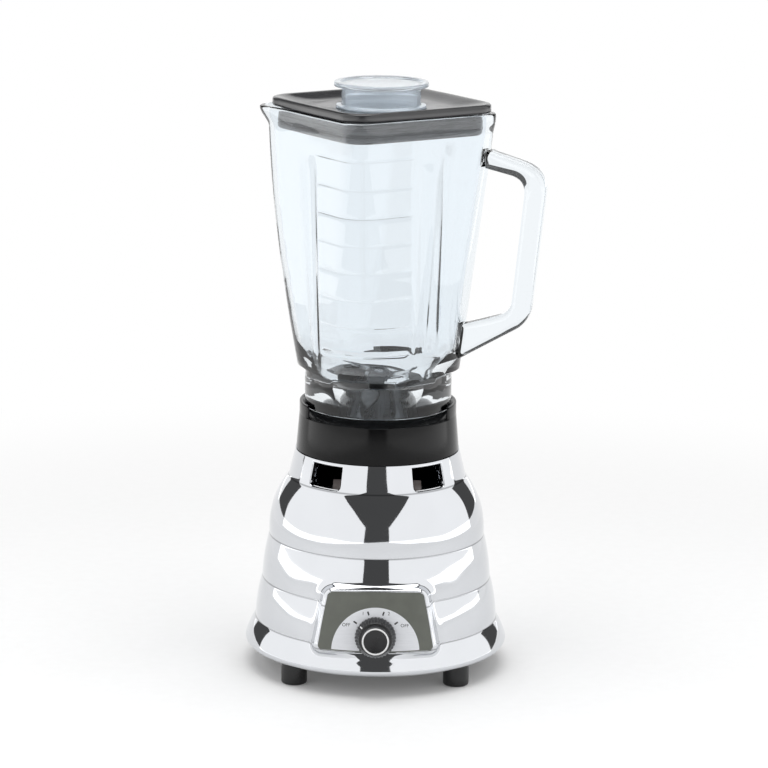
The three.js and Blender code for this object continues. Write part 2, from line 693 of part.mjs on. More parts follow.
function ventSlot(angle) {
  const half = VENT_SLOT_WIDTH / 2;
  const shape = [
    point(VENT_INNER_RADIUS, -half),
    point(VENT_OUTER_RADIUS, -half),
    point(VENT_OUTER_RADIUS, half),
    point(VENT_INNER_RADIUS, half),
  ];
  return shape.map((corner) => corner.rotateAround(point(0, 0), angle));
}

function buildBottom(base) {
  const plateRadius = BOTTOM_EDGE_RADIUS - SHEET / 2 - 2 * FIT;
  const plateTopZ = bottomPlateZ + BOTTOM_PLATE_THICKNESS;
  const slots = Array.from({ length: VENT_SLOTS }, (_, i) => ventSlot((i * 2 * Math.PI) / VENT_SLOTS));
  const disc = plate(polygon(LARGE_ROUND, plateRadius), slots, bottomPlateZ, plateTopZ);
  const bosses = footPlaces().map(({ x, y }) => {
    const top = plateTopZ + BOTTOM_PLATE_BOSS_HEIGHT;
    return cylinder(FOOT_SPIGOT_RADIUS, bottomPlateZ, top).translate(x, y, 0);
  });
  const holes = footPlaces().map(({ x, y }) => {
    return cylinder(SCREW_RADIUS + FIT, 0, neckZ, TINY_ROUND).translate(x, y, 0);
  });
  add('bottom_plate', cut(join(disc, ...bosses), ...holes), BLACK_PLASTIC, base);

  const footTopZ = bottomPlateZ - SEAT;
  const recessRadius = SCREW_HEAD_RADIUS + 2 * FIT;
  const footProfile = [
    [recessRadius, 0],
    [FOOT_RADIUS - FOOT_ROUNDING, 0],
    [FOOT_RADIUS, FOOT_ROUNDING],
    [FOOT_RADIUS, housingBottomZ - FIT],
    [FOOT_SPIGOT_RADIUS, housingBottomZ - FIT],
    [FOOT_SPIGOT_RADIUS, footTopZ],
    [SCREW_RADIUS + FIT, footTopZ],
    [SCREW_RADIUS + FIT, FOOT_RECESS_DEPTH],
    [recessRadius, FOOT_RECESS_DEPTH],
  ];
  const headTopZ = FOOT_RECESS_DEPTH - SEAT;
  const screwProfile = [
    [0, headTopZ - SCREW_HEAD_HEIGHT],
    [SCREW_HEAD_RADIUS * FOOT_SCREW_FACE, headTopZ - SCREW_HEAD_HEIGHT],
    [SCREW_HEAD_RADIUS, headTopZ - SCREW_HEAD_HEIGHT / 2],
    [SCREW_HEAD_RADIUS, headTopZ],
    [SCREW_RADIUS, headTopZ],
    [SCREW_RADIUS, plateTopZ + BOTTOM_PLATE_BOSS_HEIGHT - 1],
    [0, plateTopZ + BOTTOM_PLATE_BOSS_HEIGHT],
  ];
  for (const { name, x, y } of footPlaces()) {
    add(`foot_${name}`, turned(footProfile, SMALL_ROUND, true), RUBBER, base).position.set(x, y, 0);
    add(`foot_screw_${name}`, turned(screwProfile, TINY_ROUND), STEEL, base).position.set(x, y, 0);
  }
}

// ---------------------------------------------------------------- collar

function collarEar(angle) {
  const outer = COLLAR_TOP_RADIUS;
  const half = degrees(EAR_HALF_ANGLE);
  const steps = 6;
  const arc = (radius, from, to) => {
    return Array.from({ length: steps + 1 }, (_, i) => polar(radius, from + ((to - from) * i) / steps));
  };
  const outline = [...arc(outer, -half, half), ...arc(outer - EAR_WALL, half, -half)];
  const rootZ = collarZ + COLLAR_HEIGHT - COLLAR_WALL;
  const tipZ = collarZ + COLLAR_HEIGHT + EAR_HEIGHT;
  return plate(outline, [], rootZ, tipZ).rotateZ(angle);
}

function buildCollar(base) {
  const topZ = collarZ + COLLAR_HEIGHT;
  const ring = turned([
    [COLLAR_BOTTOM_RADIUS, collarZ],
    [COLLAR_TOP_RADIUS, topZ],
    [wellRadius + 1, topZ + COLLAR_DISH],
    [wellRadius, topZ + COLLAR_DISH - 1],
    [wellRadius, collarFloorZ],
    [COLLAR_HUB_RADIUS, collarFloorZ],
    [COLLAR_HUB_RADIUS, collarZ],
    [wellRadius + COLLAR_WALL, collarZ],
    [wellRadius + COLLAR_WALL, topZ - COLLAR_WALL],
    [COLLAR_TOP_RADIUS - COLLAR_WALL, topZ - COLLAR_WALL - 1],
    [COLLAR_BOTTOM_RADIUS - COLLAR_WALL, collarZ],
  ], LARGE_ROUND, true);
  const holes = collarScrewPlaces().map(({ x, y }) => {
    return cylinder(SCREW_RADIUS + FIT, collarZ - 1, collarFloorZ + 1, TINY_ROUND).translate(x, y, 0);
  });
  add('collar_ring', cut(join(ring, collarEar(0), collarEar(Math.PI)), ...holes), BLACK_PLASTIC, base);

  const screwProfile = [
    [0, upperBracketZ + BRACKET_THICKNESS / 2],
    [SCREW_RADIUS, upperBracketZ + BRACKET_THICKNESS / 2 + 1],
    [SCREW_RADIUS, collarFloorZ + SEAT],
    [SCREW_HEAD_RADIUS * COLLAR_SCREW_HEAD, collarFloorZ + SEAT],
    [SCREW_HEAD_RADIUS * COLLAR_SCREW_HEAD, collarFloorZ + SEAT + SCREW_HEAD_HEIGHT / 2],
    [0, collarFloorZ + SEAT + SCREW_HEAD_HEIGHT],
  ];
  collarScrewPlaces().forEach(({ x, y }, index) => {
    add(`collar_screw_${index + 1}`, turned(screwProfile, TINY_ROUND), STEEL, base).position.set(x, y, 0);
  });
}

// ---------------------------------------------------------------- dial plate, switch and knob

function buildSwitch(base) {
  const panel = new THREE.Group();
  panel.applyMatrix4(panelMatrix());
  base.add(panel);

  const plateZ = SEAT;
  const plateTop = plateZ + DIAL_PLATE_THICKNESS;
  const bushingHole = polygon(SMALL_ROUND, BUSHING_RADIUS + FIT);
  add('dial_plate', plate(panelOutline(0), [bushingHole], plateZ, plateTop), DIAL_PRINT, panel);

  const half = SWITCH_WIDTH / 2;
  const backZ = -SHEET - FIT - SWITCH_DEPTH;
  const shaftClearance = SWITCH_SHAFT_RADIUS + FIT;
  const block = box(-half, half, -half, half, backZ, -SHEET - FIT);
  const bushing = cylinder(BUSHING_RADIUS, -SHEET - SWITCH_DEPTH / 2, BUSHING_LENGTH - SHEET);
  const bore = cylinder(shaftClearance, backZ + SHEET, BUSHING_LENGTH + 1, SMALL_ROUND);
  add('switch_body', cut(join(block, bushing), bore), INSULATION, panel);

  const nutZ = plateTop + SEAT;
  const nut = plate(hexagon(SWITCH_NUT_ACROSS), [bushingHole], nutZ, nutZ + SWITCH_NUT_HEIGHT);
  add('switch_nut', nut, STEEL, panel);

  const knobZ = plateTop + FIT;
  const shaftTip = knobZ + KNOB_HEIGHT - KNOB_WALL - FIT;
  const shaft = cylinder(SWITCH_SHAFT_RADIUS, backZ + SHEET + FIT, shaftTip, SMALL_ROUND);
  add('switch_shaft', shaft, BRONZE, panel);

  add('knob', knobGeometry(knobZ), BLACK_PLASTIC, panel);
}

// A flared skirt with ribs, a plain cap, and a hollow underneath with a hub for the shaft
function knobGeometry(baseZ) {
  const ribbed = (radius, height) => {
    const outline = Array.from({ length: KNOB_RIBS * 2 }, (_, i) => {
      const depth = i % 2 === 0 ? 0 : KNOB_RIB_DEPTH;
      return polar(radius - depth, (i * Math.PI) / KNOB_RIBS);
    });
    return atHeight(outline, height);
  };
  const topZ = baseZ + KNOB_HEIGHT;
  const skirt = loft([
    ribbed(KNOB_RADIUS, baseZ),
    ribbed(KNOB_RADIUS, baseZ + 2),
    ribbed(KNOB_CAP_RADIUS + KNOB_SHOULDER, baseZ + KNOB_SKIRT_HEIGHT),
  ], false);
  const cap = turned([
    [0, baseZ + 1],
    [KNOB_CAP_RADIUS, baseZ + 1],
    [KNOB_CAP_RADIUS, topZ - 1],
    [KNOB_CAP_RADIUS - 1, topZ],
    [0, topZ],
  ], MEDIUM_ROUND);
  const hollowTop = baseZ + KNOB_SKIRT_HEIGHT - KNOB_WALL;
  const hubRadius = SWITCH_SHAFT_RADIUS + FIT + KNOB_WALL;
  const hollow = turned([
    [0, baseZ - 1],
    [KNOB_RADIUS - KNOB_WALL, baseZ - 1],
    [KNOB_RADIUS - KNOB_WALL, baseZ + 1],
    [KNOB_CAP_RADIUS, hollowTop],
    [hubRadius, hollowTop],
    [hubRadius, hollowTop - KNOB_WALL],
    [0, hollowTop - KNOB_WALL],
  ], SMALL_ROUND);
  const shaftHole = cylinder(SWITCH_SHAFT_RADIUS + FIT, baseZ - 1, topZ - KNOB_WALL, SMALL_ROUND);
  return cut(join(skirt, cap), hollow, shaftHole);
}

// ---------------------------------------------------------------- motor

function rectangle(lowX, highX, lowY, highY) {
  return [point(lowX, lowY), point(highX, lowY), point(highX, highY), point(lowX, highY)];
}

function statorOutline() {
  const [halfX, halfY] = [STATOR_LENGTH / 2, STATOR_WIDTH / 2];
  const corner = STATOR_CORNER;
  return [[1, 1], [-1, 1], [-1, -1], [1, -1]].flatMap(([x, y]) => {
    const ends = [point(x * halfX, y * (halfY - corner)), point(x * (halfX - corner), y * halfY)];
    return x * y > 0 ? ends : ends.reverse();
  });
}

// Bore with two pole shoes, to the left and right, and room round each pole for its coil
function statorOpening() {
  const steps = 4;
  const tip = degrees(POLE_HALF_ANGLE);
  const quarter = [];
  for (let i = 0; i <= steps; i += 1) {
    quarter.push(polar(BORE_RADIUS, (tip * i) / steps));
  }
  quarter.push(polar(POLE_NECK_START, tip));
  quarter.push(point(POLE_NECK_START, POLE_HALF_WIDTH));
  quarter.push(point(POLE_NECK_END, POLE_HALF_WIDTH));
  quarter.push(point(POLE_NECK_END, SLOT_HALF_WIDTH));
  const mirrored = quarter.slice().reverse().map((p) => point(-p.x, p.y));
  const upper = [...quarter, ...mirrored];
  const lower = upper.slice(1, -1).reverse().map((p) => point(p.x, -p.y));
  return [...upper, ...lower];
}

function buildStator(base) {
  const boltHole = (side) => {
    return polygon(TINY_ROUND, BOLT_RADIUS + FIT).map((p) => point(p.x, p.y + side * BOLT_OFFSET));
  };
  const holes = [statorOpening(), boltHole(1), boltHole(-1)];
  add('stator_core', plate(statorOutline(), holes, stackZ, stackTopZ), LAMINATION, base);

  const innerHalf = POLE_HALF_WIDTH + FIT;
  const outerHalf = innerHalf + COIL_THICKNESS;
  const middleZ = stackZ + STACK_HEIGHT / 2;
  const innerHeight = STACK_HEIGHT / 2 + FIT;
  const outerHeight = innerHeight + COIL_OVERHANG;
  const outline = rectangle(-outerHalf, outerHalf, -outerHeight, outerHeight);
  const window = rectangle(-innerHalf, innerHalf, -innerHeight, innerHeight);
  for (const [name, turn] of [['field_coil_right', 0], ['field_coil_left', Math.PI]]) {
    const coil = plate(outline, [window], POLE_NECK_START + FIT, POLE_NECK_END - FIT);
    coil.rotateX(Math.PI / 2).rotateZ(Math.PI / 2 + turn).translate(0, 0, middleZ);
    add(name, coil, COPPER, base);
  }
}

function bearingBore() {
  return SHAFT_RADIUS + FIT + BEARING_WALL + FIT;
}

function buildBrackets(base) {
  const housingRadius = bearingBore() + BEARING_HOUSING_WALL;
  const half = BRACKET_WIDTH / 2;
  const armReach = BOLT_OFFSET + LEG_RADIUS;
  const legPlaces = [1, -1].map((side) => side * BOLT_OFFSET);
  const boltHoles = (lowZ, highZ) => legPlaces.map((y) => {
    return cylinder(BOLT_RADIUS + FIT, lowZ - 1, highZ + 1, TINY_ROUND).translate(0, y, 0);
  });

  const upperTopZ = upperBracketZ + BRACKET_THICKNESS;
  const standoffTopZ = upperTopZ + STANDOFF_HEIGHT;
  const standoffs = collarScrewPlaces().map(({ x, y }) => {
    return cylinder(LEG_RADIUS, upperBracketZ, standoffTopZ).translate(x, y, 0);
  });
  const upperLegs = legPlaces.map((y) => {
    return cylinder(LEG_RADIUS, stackTopZ + SEAT, upperTopZ).translate(0, y, 0);
  });
  const screwHoles = collarScrewPlaces().map(({ x, y }) => {
    return cylinder(SCREW_RADIUS + FIT, upperBracketZ - 1, standoffTopZ + 1, TINY_ROUND).translate(x, y, 0);
  });
  const upperPlate = box(-half, half, -armReach, armReach, upperBracketZ, upperTopZ);
  const upperWeb = cylinder(COLLAR_SCREW_CIRCLE + LEG_RADIUS, upperBracketZ, upperTopZ, MEDIUM_ROUND);
  const upperHousing = cylinder(housingRadius, upperTopZ - BEARING_HEIGHT, upperTopZ);
  const upper = cut(
    join(upperPlate, upperWeb, upperHousing, ...standoffs, ...upperLegs),
    cylinder(bearingBore(), upperTopZ - BEARING_HEIGHT - 1, upperTopZ + 1),
    ...boltHoles(stackTopZ, upperTopZ),
    ...screwHoles,
  );
  add('motor_upper_bracket', upper, CAST_ALUMINIUM, base);

  const lowerTopZ = lowerBracketZ + BRACKET_THICKNESS;
  const holderReach = brushTipRadius() + BRUSH_HOLDER_REACH;
  const holderHalf = BRUSH_SIZE / 2 + FIT + BRUSH_HOLDER_WALL;
  const lowerLegs = legPlaces.map((y) => {
    return cylinder(LEG_RADIUS, lowerBracketZ, stackZ - SEAT).translate(0, y, 0);
  });
  const lower = cut(
    join(
      box(-half, half, -armReach, armReach, lowerBracketZ, lowerTopZ),
      box(-holderReach, holderReach, -holderHalf, holderHalf, lowerBracketZ, lowerTopZ),
      cylinder(housingRadius, lowerBearingZ, lowerTopZ),
      ...lowerLegs,
    ),
    cylinder(bearingBore(), lowerBearingZ - 1, lowerTopZ + 1),
    ...boltHoles(lowerBracketZ, stackZ),
  );
  add('motor_lower_bracket', lower, CAST_ALUMINIUM, base);

  const bearing = (lowZ) => tube(bearingBore() - FIT, SHAFT_RADIUS + FIT, lowZ, lowZ + BEARING_HEIGHT);
  add('upper_bearing', bearing(upperTopZ - BEARING_HEIGHT), BRONZE, base);
  add('lower_bearing', bearing(lowerBearingZ), BRONZE, base);

  const headZ = lowerBracketZ - SEAT;
  const boltProfile = [
    [0, headZ - SCREW_HEAD_HEIGHT],
    [SCREW_HEAD_RADIUS, headZ - SCREW_HEAD_HEIGHT],
    [SCREW_HEAD_RADIUS, headZ],
    [BOLT_RADIUS, headZ],
    [BOLT_RADIUS, upperTopZ - FIT],
    [0, upperTopZ - FIT],
  ];
  for (const [name, side] of [['motor_bolt_rear', 1], ['motor_bolt_front', -1]]) {
    add(name, turned(boltProfile, TINY_ROUND), STEEL, base).position.set(0, side * BOLT_OFFSET, 0);
  }
}

function brushTipRadius() {
  return COMMUTATOR_RADIUS + FIT;
}

function springGeometry(radius, length, lowX) {
  class Helix extends THREE.Curve {
    getPoint(t, target = new THREE.Vector3()) {
      const angle = t * BRUSH_SPRING_TURNS * 2 * Math.PI;
      return target.set(lowX + t * length, radius * Math.cos(angle), radius * Math.sin(angle));
    }
  }
  const wire = new THREE.Shape(polygon(4, BRUSH_SPRING_WIRE / 2));
  const steps = BRUSH_SPRING_TURNS * 8;
  return new THREE.ExtrudeGeometry(wire, { extrudePath: new Helix(), steps, bevelEnabled: false });
}

function buildBrushes(base) {
  const brushZ = commutatorZ + COMMUTATOR_HEIGHT / 2;
  const footZ = lowerBracketZ + BRACKET_THICKNESS + SEAT;
  const half = BRUSH_SIZE / 2;
  const bore = half + FIT;
  const outer = bore + BRUSH_HOLDER_WALL;
  const tip = brushTipRadius();
  const mouth = tip + BRUSH_HOLDER_WALL;
  const end = tip + BRUSH_HOLDER_REACH;
  const springStart = tip + BRUSH_LENGTH + FIT + BRUSH_SPRING_WIRE / 2;
  const springLength = end - BRUSH_HOLDER_WALL - FIT - BRUSH_SPRING_WIRE / 2 - springStart;
  for (const [side, turn] of [['right', 0], ['left', Math.PI]]) {
    const group = new THREE.Group();
    group.rotation.z = turn;
    base.add(group);
    const block = box(mouth, end, -outer, outer, footZ, brushZ + outer);
    const hole = box(mouth - 1, end - BRUSH_HOLDER_WALL, -bore, bore, brushZ - bore, brushZ + bore);
    add(`brush_holder_${side}`, cut(block, hole), INSULATION, group);
    const brush = box(tip, tip + BRUSH_LENGTH, -half, half, brushZ - half, brushZ + half);
    add(`carbon_brush_${side}`, brush, CARBON, group);
    const spring = springGeometry(half - BRUSH_SPRING_WIRE / 2, springLength, springStart);
    add(`brush_spring_${side}`, spring.translate(0, 0, brushZ), STEEL, group);
  }
}

function buildArmature(base) {
  const coreRadius = BORE_RADIUS - AIR_GAP;
  const slotTurn = (2 * Math.PI) / ARMATURE_SLOTS;
  const coreOutline = Array.from({ length: ARMATURE_SLOTS }, (_, i) => {
    const angle = i * slotTurn;
    return [
      ...ARMATURE_TOOTH.map((share) => polar(coreRadius, angle + slotTurn * share)),
      ...ARMATURE_SLOT.map((share) => polar(coreRadius - ARMATURE_SLOT_DEPTH, angle + slotTurn * share)),
    ];
  }).flat();
  const shaftHole = polygon(SMALL_ROUND, SHAFT_RADIUS + FIT);
  add('armature_core', plate(coreOutline, [shaftHole], stackZ, stackTopZ), LAMINATION, base);

  const windingInner = SHAFT_RADIUS + FIT;
  const winding = (nearZ, farZ) => turned([
    [windingInner, nearZ],
    [WINDING_RADIUS, nearZ],
    [WINDING_RADIUS, nearZ + (farZ - nearZ) * WINDING_STRAIGHT],
    [WINDING_RADIUS - WINDING_TAPER, farZ],
    [windingInner, farZ],
  ], SMALL_ROUND, true);
  add('winding_end_upper', winding(stackTopZ + SEAT, stackTopZ + SEAT + WINDING_HEIGHT), COPPER, base);
  add('winding_end_lower', winding(stackZ - SEAT, stackZ - SEAT - WINDING_HEIGHT), COPPER, base);

  const barTurn = (2 * Math.PI) / COMMUTATOR_BARS;
  const barOutline = Array.from({ length: COMMUTATOR_BARS }, (_, i) => {
    const angle = i * barTurn;
    return [
      polar(COMMUTATOR_RADIUS, angle),
      polar(COMMUTATOR_RADIUS, angle + barTurn * COMMUTATOR_BAR_END),
      polar(COMMUTATOR_RADIUS - COMMUTATOR_GROOVE_DEPTH, angle + barTurn * COMMUTATOR_GROOVE_MIDDLE),
    ];
  }).flat();
  const commutator = plate(barOutline, [shaftHole], commutatorZ, commutatorZ + COMMUTATOR_HEIGHT);
  add('commutator', commutator, COPPER, base);

  const studTopZ = studZ + STUD_BASE_HEIGHT;
  add('motor_shaft', cylinder(SHAFT_RADIUS, fanZ - 1, studZ - SEAT), STEEL, base);

  const hub = cylinder(FAN_HUB_RADIUS, fanZ, fanZ + FAN_HEIGHT);
  const disc = cylinder(FAN_RADIUS, fanZ + FAN_HEIGHT - FAN_BLADE_THICKNESS, fanZ + FAN_HEIGHT, MEDIUM_ROUND);
  const blades = Array.from({ length: FAN_BLADES }, (_, i) => {
    const halfBlade = FAN_BLADE_THICKNESS / 2;
    const bladeTopZ = fanZ + FAN_HEIGHT - FIT;
    const blade = box(FAN_HUB_RADIUS - 1, FAN_RADIUS - 1, -halfBlade, halfBlade, fanZ, bladeTopZ);
    return blade.rotateZ((i * 2 * Math.PI) / FAN_BLADES);
  });
  const fanBore = cylinder(SHAFT_RADIUS + FIT, fanZ - 1, fanZ + FAN_HEIGHT + 1);
  add('cooling_fan', cut(join(hub, disc, ...blades), fanBore), LID_PLASTIC, base);

  const slinger = tube(SLINGER_RADIUS, SHAFT_RADIUS + FIT, slingerZ, slingerZ + SLINGER_THICKNESS);
  add('slinger_washer', slinger, RUBBER, base);

  const halfStud = STUD_SIDE / 2;
  const pillar = loft([
    atHeight(rectangle(-halfStud, halfStud, -halfStud, halfStud), studZ + 1),
    atHeight(rectangle(-halfStud, halfStud, -halfStud, halfStud), studTopZ + STUD_HEIGHT - 1.5),
    atHeight(rectangle(-halfStud + 1, halfStud - 1, -halfStud + 1, halfStud - 1), studTopZ + STUD_HEIGHT),
  ], false);
  add('drive_stud', join(cylinder(STUD_BASE_RADIUS, studZ, studTopZ), pillar), STEEL, base);
}

// ---------------------------------------------------------------- jar

// Distance from the middle to a square with round corners, whose corners lie at 0, 90, 180 and 270
// degrees. diagonal is the distance to a corner; a circle has diagonal equal to halfWidth.
function roundedSquareRadius(angle, halfWidth, diagonal) {
  const corner = (halfWidth * Math.SQRT2 - diagonal) / (Math.SQRT2 - 1);
  const quarter = Math.PI / 2;
  const fromCorner = Math.abs(angle - Math.round(angle / quarter) * quarter);
  const direction = polar(1, Math.PI / 4 - fromCorner);
  const flatRadius = halfWidth / direction.x;
  const straight = halfWidth - corner;
  if (flatRadius * direction.y <= straight) {
    return flatRadius;
  }
  const along = straight * (direction.x + direction.y);
  return along + Math.sqrt(along * along - 2 * straight * straight + corner * corner);
}

// Angles round the jar, close together at the corners and at the flutes in the middle of each side
function jarAngles() {
  const quarter = [...JAR_STATIONS, 45, ...JAR_STATIONS.slice(1).reverse().map((angle) => 90 - angle)];
  return [0, 90, 180, 270].flatMap((start) => quarter.map((angle) => degrees(start + angle)));
}

function easeIn(value) {
  const t = Math.min(Math.max(value, 0), 1);
  return t * t * (3 - 2 * t);
}

// Half width and corner distance of the glass at a height above the start of its body
function glassSection(height, wall) {
  const t = Math.min(Math.max((height - glassBodyZ) / GLASS_BODY_HEIGHT, 0), 1);
  const widening = t * (1 + GLASS_SIDE_SWELL * (1 - t));
  const cornering = 1 - (1 - t) ** CORNER_SWELL;
  const cornerWall = wall * GLASS_CORNER_WALL;
  return {
    halfWidth: GLASS_WAIST_HALF_WIDTH + (GLASS_TOP_HALF_WIDTH - GLASS_WAIST_HALF_WIDTH) * widening - wall,
    diagonal: GLASS_WAIST_DIAGONAL + (GLASS_TOP_DIAGONAL - GLASS_WAIST_DIAGONAL) * cornering - cornerWall,
    lean: CORNER_LEAN * Math.sin(Math.PI * t),
  };
}

function spoutLift(angle, height) {
  const fromSpout = Math.abs(angle - Math.PI) / degrees(SPOUT_HALF_ANGLE);
  const rise = easeIn((height - (glassTopZ - SPOUT_HEIGHT)) / SPOUT_HEIGHT);
  return SPOUT_REACH * rise * Math.exp(-fromSpout * fromSpout);
}

function fluteDip(angle, radius, height) {
  const quarter = Math.PI / 2;
  const fromMiddle = Math.abs(Math.abs(angle - Math.round(angle / quarter) * quarter) - quarter / 2);
  const sideways = (fromMiddle * radius) / FLUTE_WIDTH;
  const upper = easeIn((glassTopZ - FLUTE_TOP_GAP - height) / FLUTE_TOP_GAP);
  const lower = easeIn((height - glassBodyZ) / FLUTE_TOP_GAP);
  return FLUTE_DEPTH * upper * lower * Math.max(0, 1 - sideways * sideways);
}

function glassRow(height, wall, extra = 0) {
  const { halfWidth, diagonal, lean } = glassSection(height, wall);
  return jarAngles().map((angle) => {
    const plain = roundedSquareRadius(angle, halfWidth, diagonal - lean * Math.cos(angle)) + extra;
    const radius = plain + spoutLift(angle, height) - fluteDip(angle, plain, height);
    const p = polar(radius, angle);
    return new THREE.Vector3(p.x, p.y, height);
  });
}

function roundRow(radius, height) {
  return atHeight(jarAngles().map((angle) => polar(radius, angle)), height);
}

function bodyHeights(steps) {
  const height = GLASS_BODY_HEIGHT - SPOUT_HEIGHT;
  return Array.from({ length: steps + 1 }, (_, i) => glassBodyZ + (height * i) / steps);
}

function glassOutside() {
  return loft([
    roundRow(GLASS_NECK_RADIUS, glassZ),
    roundRow(GLASS_NECK_RADIUS, glassFootZ),
    roundRow(GLASS_FOOT_RADIUS - 1.5, glassFootZ),
    roundRow(GLASS_FOOT_RADIUS, glassFootZ + 1.5),
    roundRow(GLASS_FOOT_RADIUS, glassWaistZ),
    ...bodyHeights(5).map((height) => glassRow(height, 0)),
    glassRow(glassTopZ - SPOUT_HEIGHT / 2, 0, RIM_BEAD / 3),
    glassRow(glassTopZ - 4, 0, RIM_BEAD),
    glassRow(glassTopZ - 1, 0, RIM_BEAD),
    glassRow(glassTopZ, 0, -0.6),
  ], false);
}

function glassInside() {
  const bowlZ = glassFootZ + 1;
  return loft([
    roundRow(GLASS_NECK_BORE, glassZ - 1),
    roundRow(GLASS_NECK_BORE, bowlZ - 5),
    roundRow((GLASS_NECK_BORE + GLASS_BOWL_RADIUS) / 2, bowlZ + GLASS_BOWL_DEPTH * BOWL_MIDDLE),
    roundRow(GLASS_BOWL_RADIUS, bowlZ + GLASS_BOWL_DEPTH * BOWL_BRIM),
    ...bodyHeights(5).slice(1).map((height) => glassRow(height, GLASS_WALL)),
    glassRow(glassTopZ - 1, GLASS_WALL),
    glassRow(glassTopZ, GLASS_WALL - 1),
    glassRow(glassTopZ + 1, GLASS_WALL - 1),
  ], false);
}

// A handle in the plane of the jar's corner: a C whose two ends run into the glass
function handleOutline() {
  const top = glassZ + HANDLE_TOP;
  const foot = glassZ + HANDLE_FOOT;
  const upperCorner = top - HANDLE_TOP_FALL;
  const lowerCorner = foot + HANDLE_FOOT_RISE;
  const upperRoot = GLASS_TOP_DIAGONAL - GLASS_WALL - 1;
  const lowerRoot = GLASS_WAIST_DIAGONAL - GLASS_WALL + 1;
  const innerTop = top - HANDLE_ARM;
  const innerReach = HANDLE_REACH - HANDLE_BAR;
  const innerLow = lowerCorner + HANDLE_ARM * HANDLE_FOOT_ARM;
  const innerLowReach = HANDLE_LOWER_REACH - HANDLE_BAR;
  const outerTop = OUTER_TOP_BEND;
  const outerFoot = OUTER_FOOT_BEND;
  const innerFoot = INNER_FOOT_BEND;
  const innerBend = INNER_TOP_BEND;
  const shape = new THREE.Shape();
  shape.moveTo(upperRoot, top);
  shape.lineTo(HANDLE_REACH - outerTop.along, upperCorner + outerTop.rise);
  shape.quadraticCurveTo(HANDLE_REACH, upperCorner, HANDLE_REACH, upperCorner - outerTop.down);
  shape.lineTo(HANDLE_LOWER_REACH, lowerCorner + outerFoot.up);
  shape.quadraticCurveTo(HANDLE_LOWER_REACH - outerFoot.pull, lowerCorner,
    HANDLE_LOWER_REACH - outerFoot.along, lowerCorner - outerFoot.down);
  shape.lineTo(lowerRoot, foot - HANDLE_ROOT_RISE);
  shape.lineTo(lowerRoot, innerLow - innerFoot.root);
  shape.lineTo(innerLowReach - innerFoot.along, innerLow - innerFoot.down);
  shape.quadraticCurveTo(innerLowReach, innerLow + innerFoot.pull,
    innerLowReach + innerFoot.out, innerLow + innerFoot.up);
  shape.lineTo(innerReach - innerBend.drift, innerTop - innerBend.down);
  shape.quadraticCurveTo(innerReach - innerBend.pull, innerTop - innerBend.soft,
    innerReach - innerBend.along, innerTop - innerBend.fall);
  shape.lineTo(upperRoot, innerTop);
  return shape;
}

function handleGeometry() {
  const settings = {
    depth: HANDLE_THICKNESS - 2 * HANDLE_ROUNDING,
    bevelThickness: HANDLE_ROUNDING,
    bevelSize: HANDLE_ROUNDING,
    bevelOffset: -HANDLE_ROUNDING,
    bevelSegments: 2,
    curveSegments: 5,
  };
  const handle = new THREE.ExtrudeGeometry(handleOutline(), settings);
  return handle.translate(0, 0, HANDLE_ROUNDING - HANDLE_THICKNESS / 2).rotateX(Math.PI / 2);
}

function buildJar(jar) {
  add('jar_glass', cut(join(glassOutside(), handleGeometry()), glassInside()), GLASS, jar);

  const capTopZ = glassFootZ - CAP_RIM_GAP;
  const cap = turned([
    [CAP_OPENING_RADIUS, 0],
    [CAP_RADIUS - 1, 0],
    [CAP_RADIUS, 1],
    [CAP_RADIUS, capTopZ],
    [GLASS_NECK_RADIUS + FIT, capTopZ],
    [GLASS_NECK_RADIUS + FIT, CAP_FLOOR],
    [CAP_OPENING_RADIUS, CAP_FLOOR],
  ], LARGE_ROUND, true);
  add('jar_base_cap', cap, BLACK_PLASTIC, jar);

  const gasketTopZ = gasketZ + GASKET_THICKNESS;
  const gasket = tube(GLASS_NECK_RADIUS, GLASS_NECK_BORE + 1, gasketZ, gasketTopZ, MEDIUM_ROUND);
  add('jar_gasket', gasket, RUBBER, jar);
}

// ---------------------------------------------------------------- blade unit

// A blade with a flat middle and two wings that taper to a point and are bent up or down
function bladeGeometry(wing, bend, lowZ) {
  const half = BLADE_WIDTH / 2;
  const middle = box(-BLADE_FLAT, BLADE_FLAT, -half, half, 0, BLADE_THICKNESS);
  const wingOutline = [
    point(-BLADE_JOIN, -half),
    point(wing * BLADE_EDGE_END, -half),
    point(wing, 0),
    point(wing * BLADE_BACK_END, half),
    point(-BLADE_JOIN, half),
  ];
  const wings = [0, Math.PI].map((turn) => {
    const blade = plate(wingOutline, [], 0, BLADE_THICKNESS);
    return blade.rotateY(degrees(-bend)).translate(BLADE_FLAT, 0, 0).rotateZ(turn);
  });
  const hole = cylinder(BLADE_SHAFT_RADIUS + FIT, -1, BLADE_THICKNESS + 1);
  return cut(join(middle, ...wings), hole).translate(0, 0, lowZ);
}

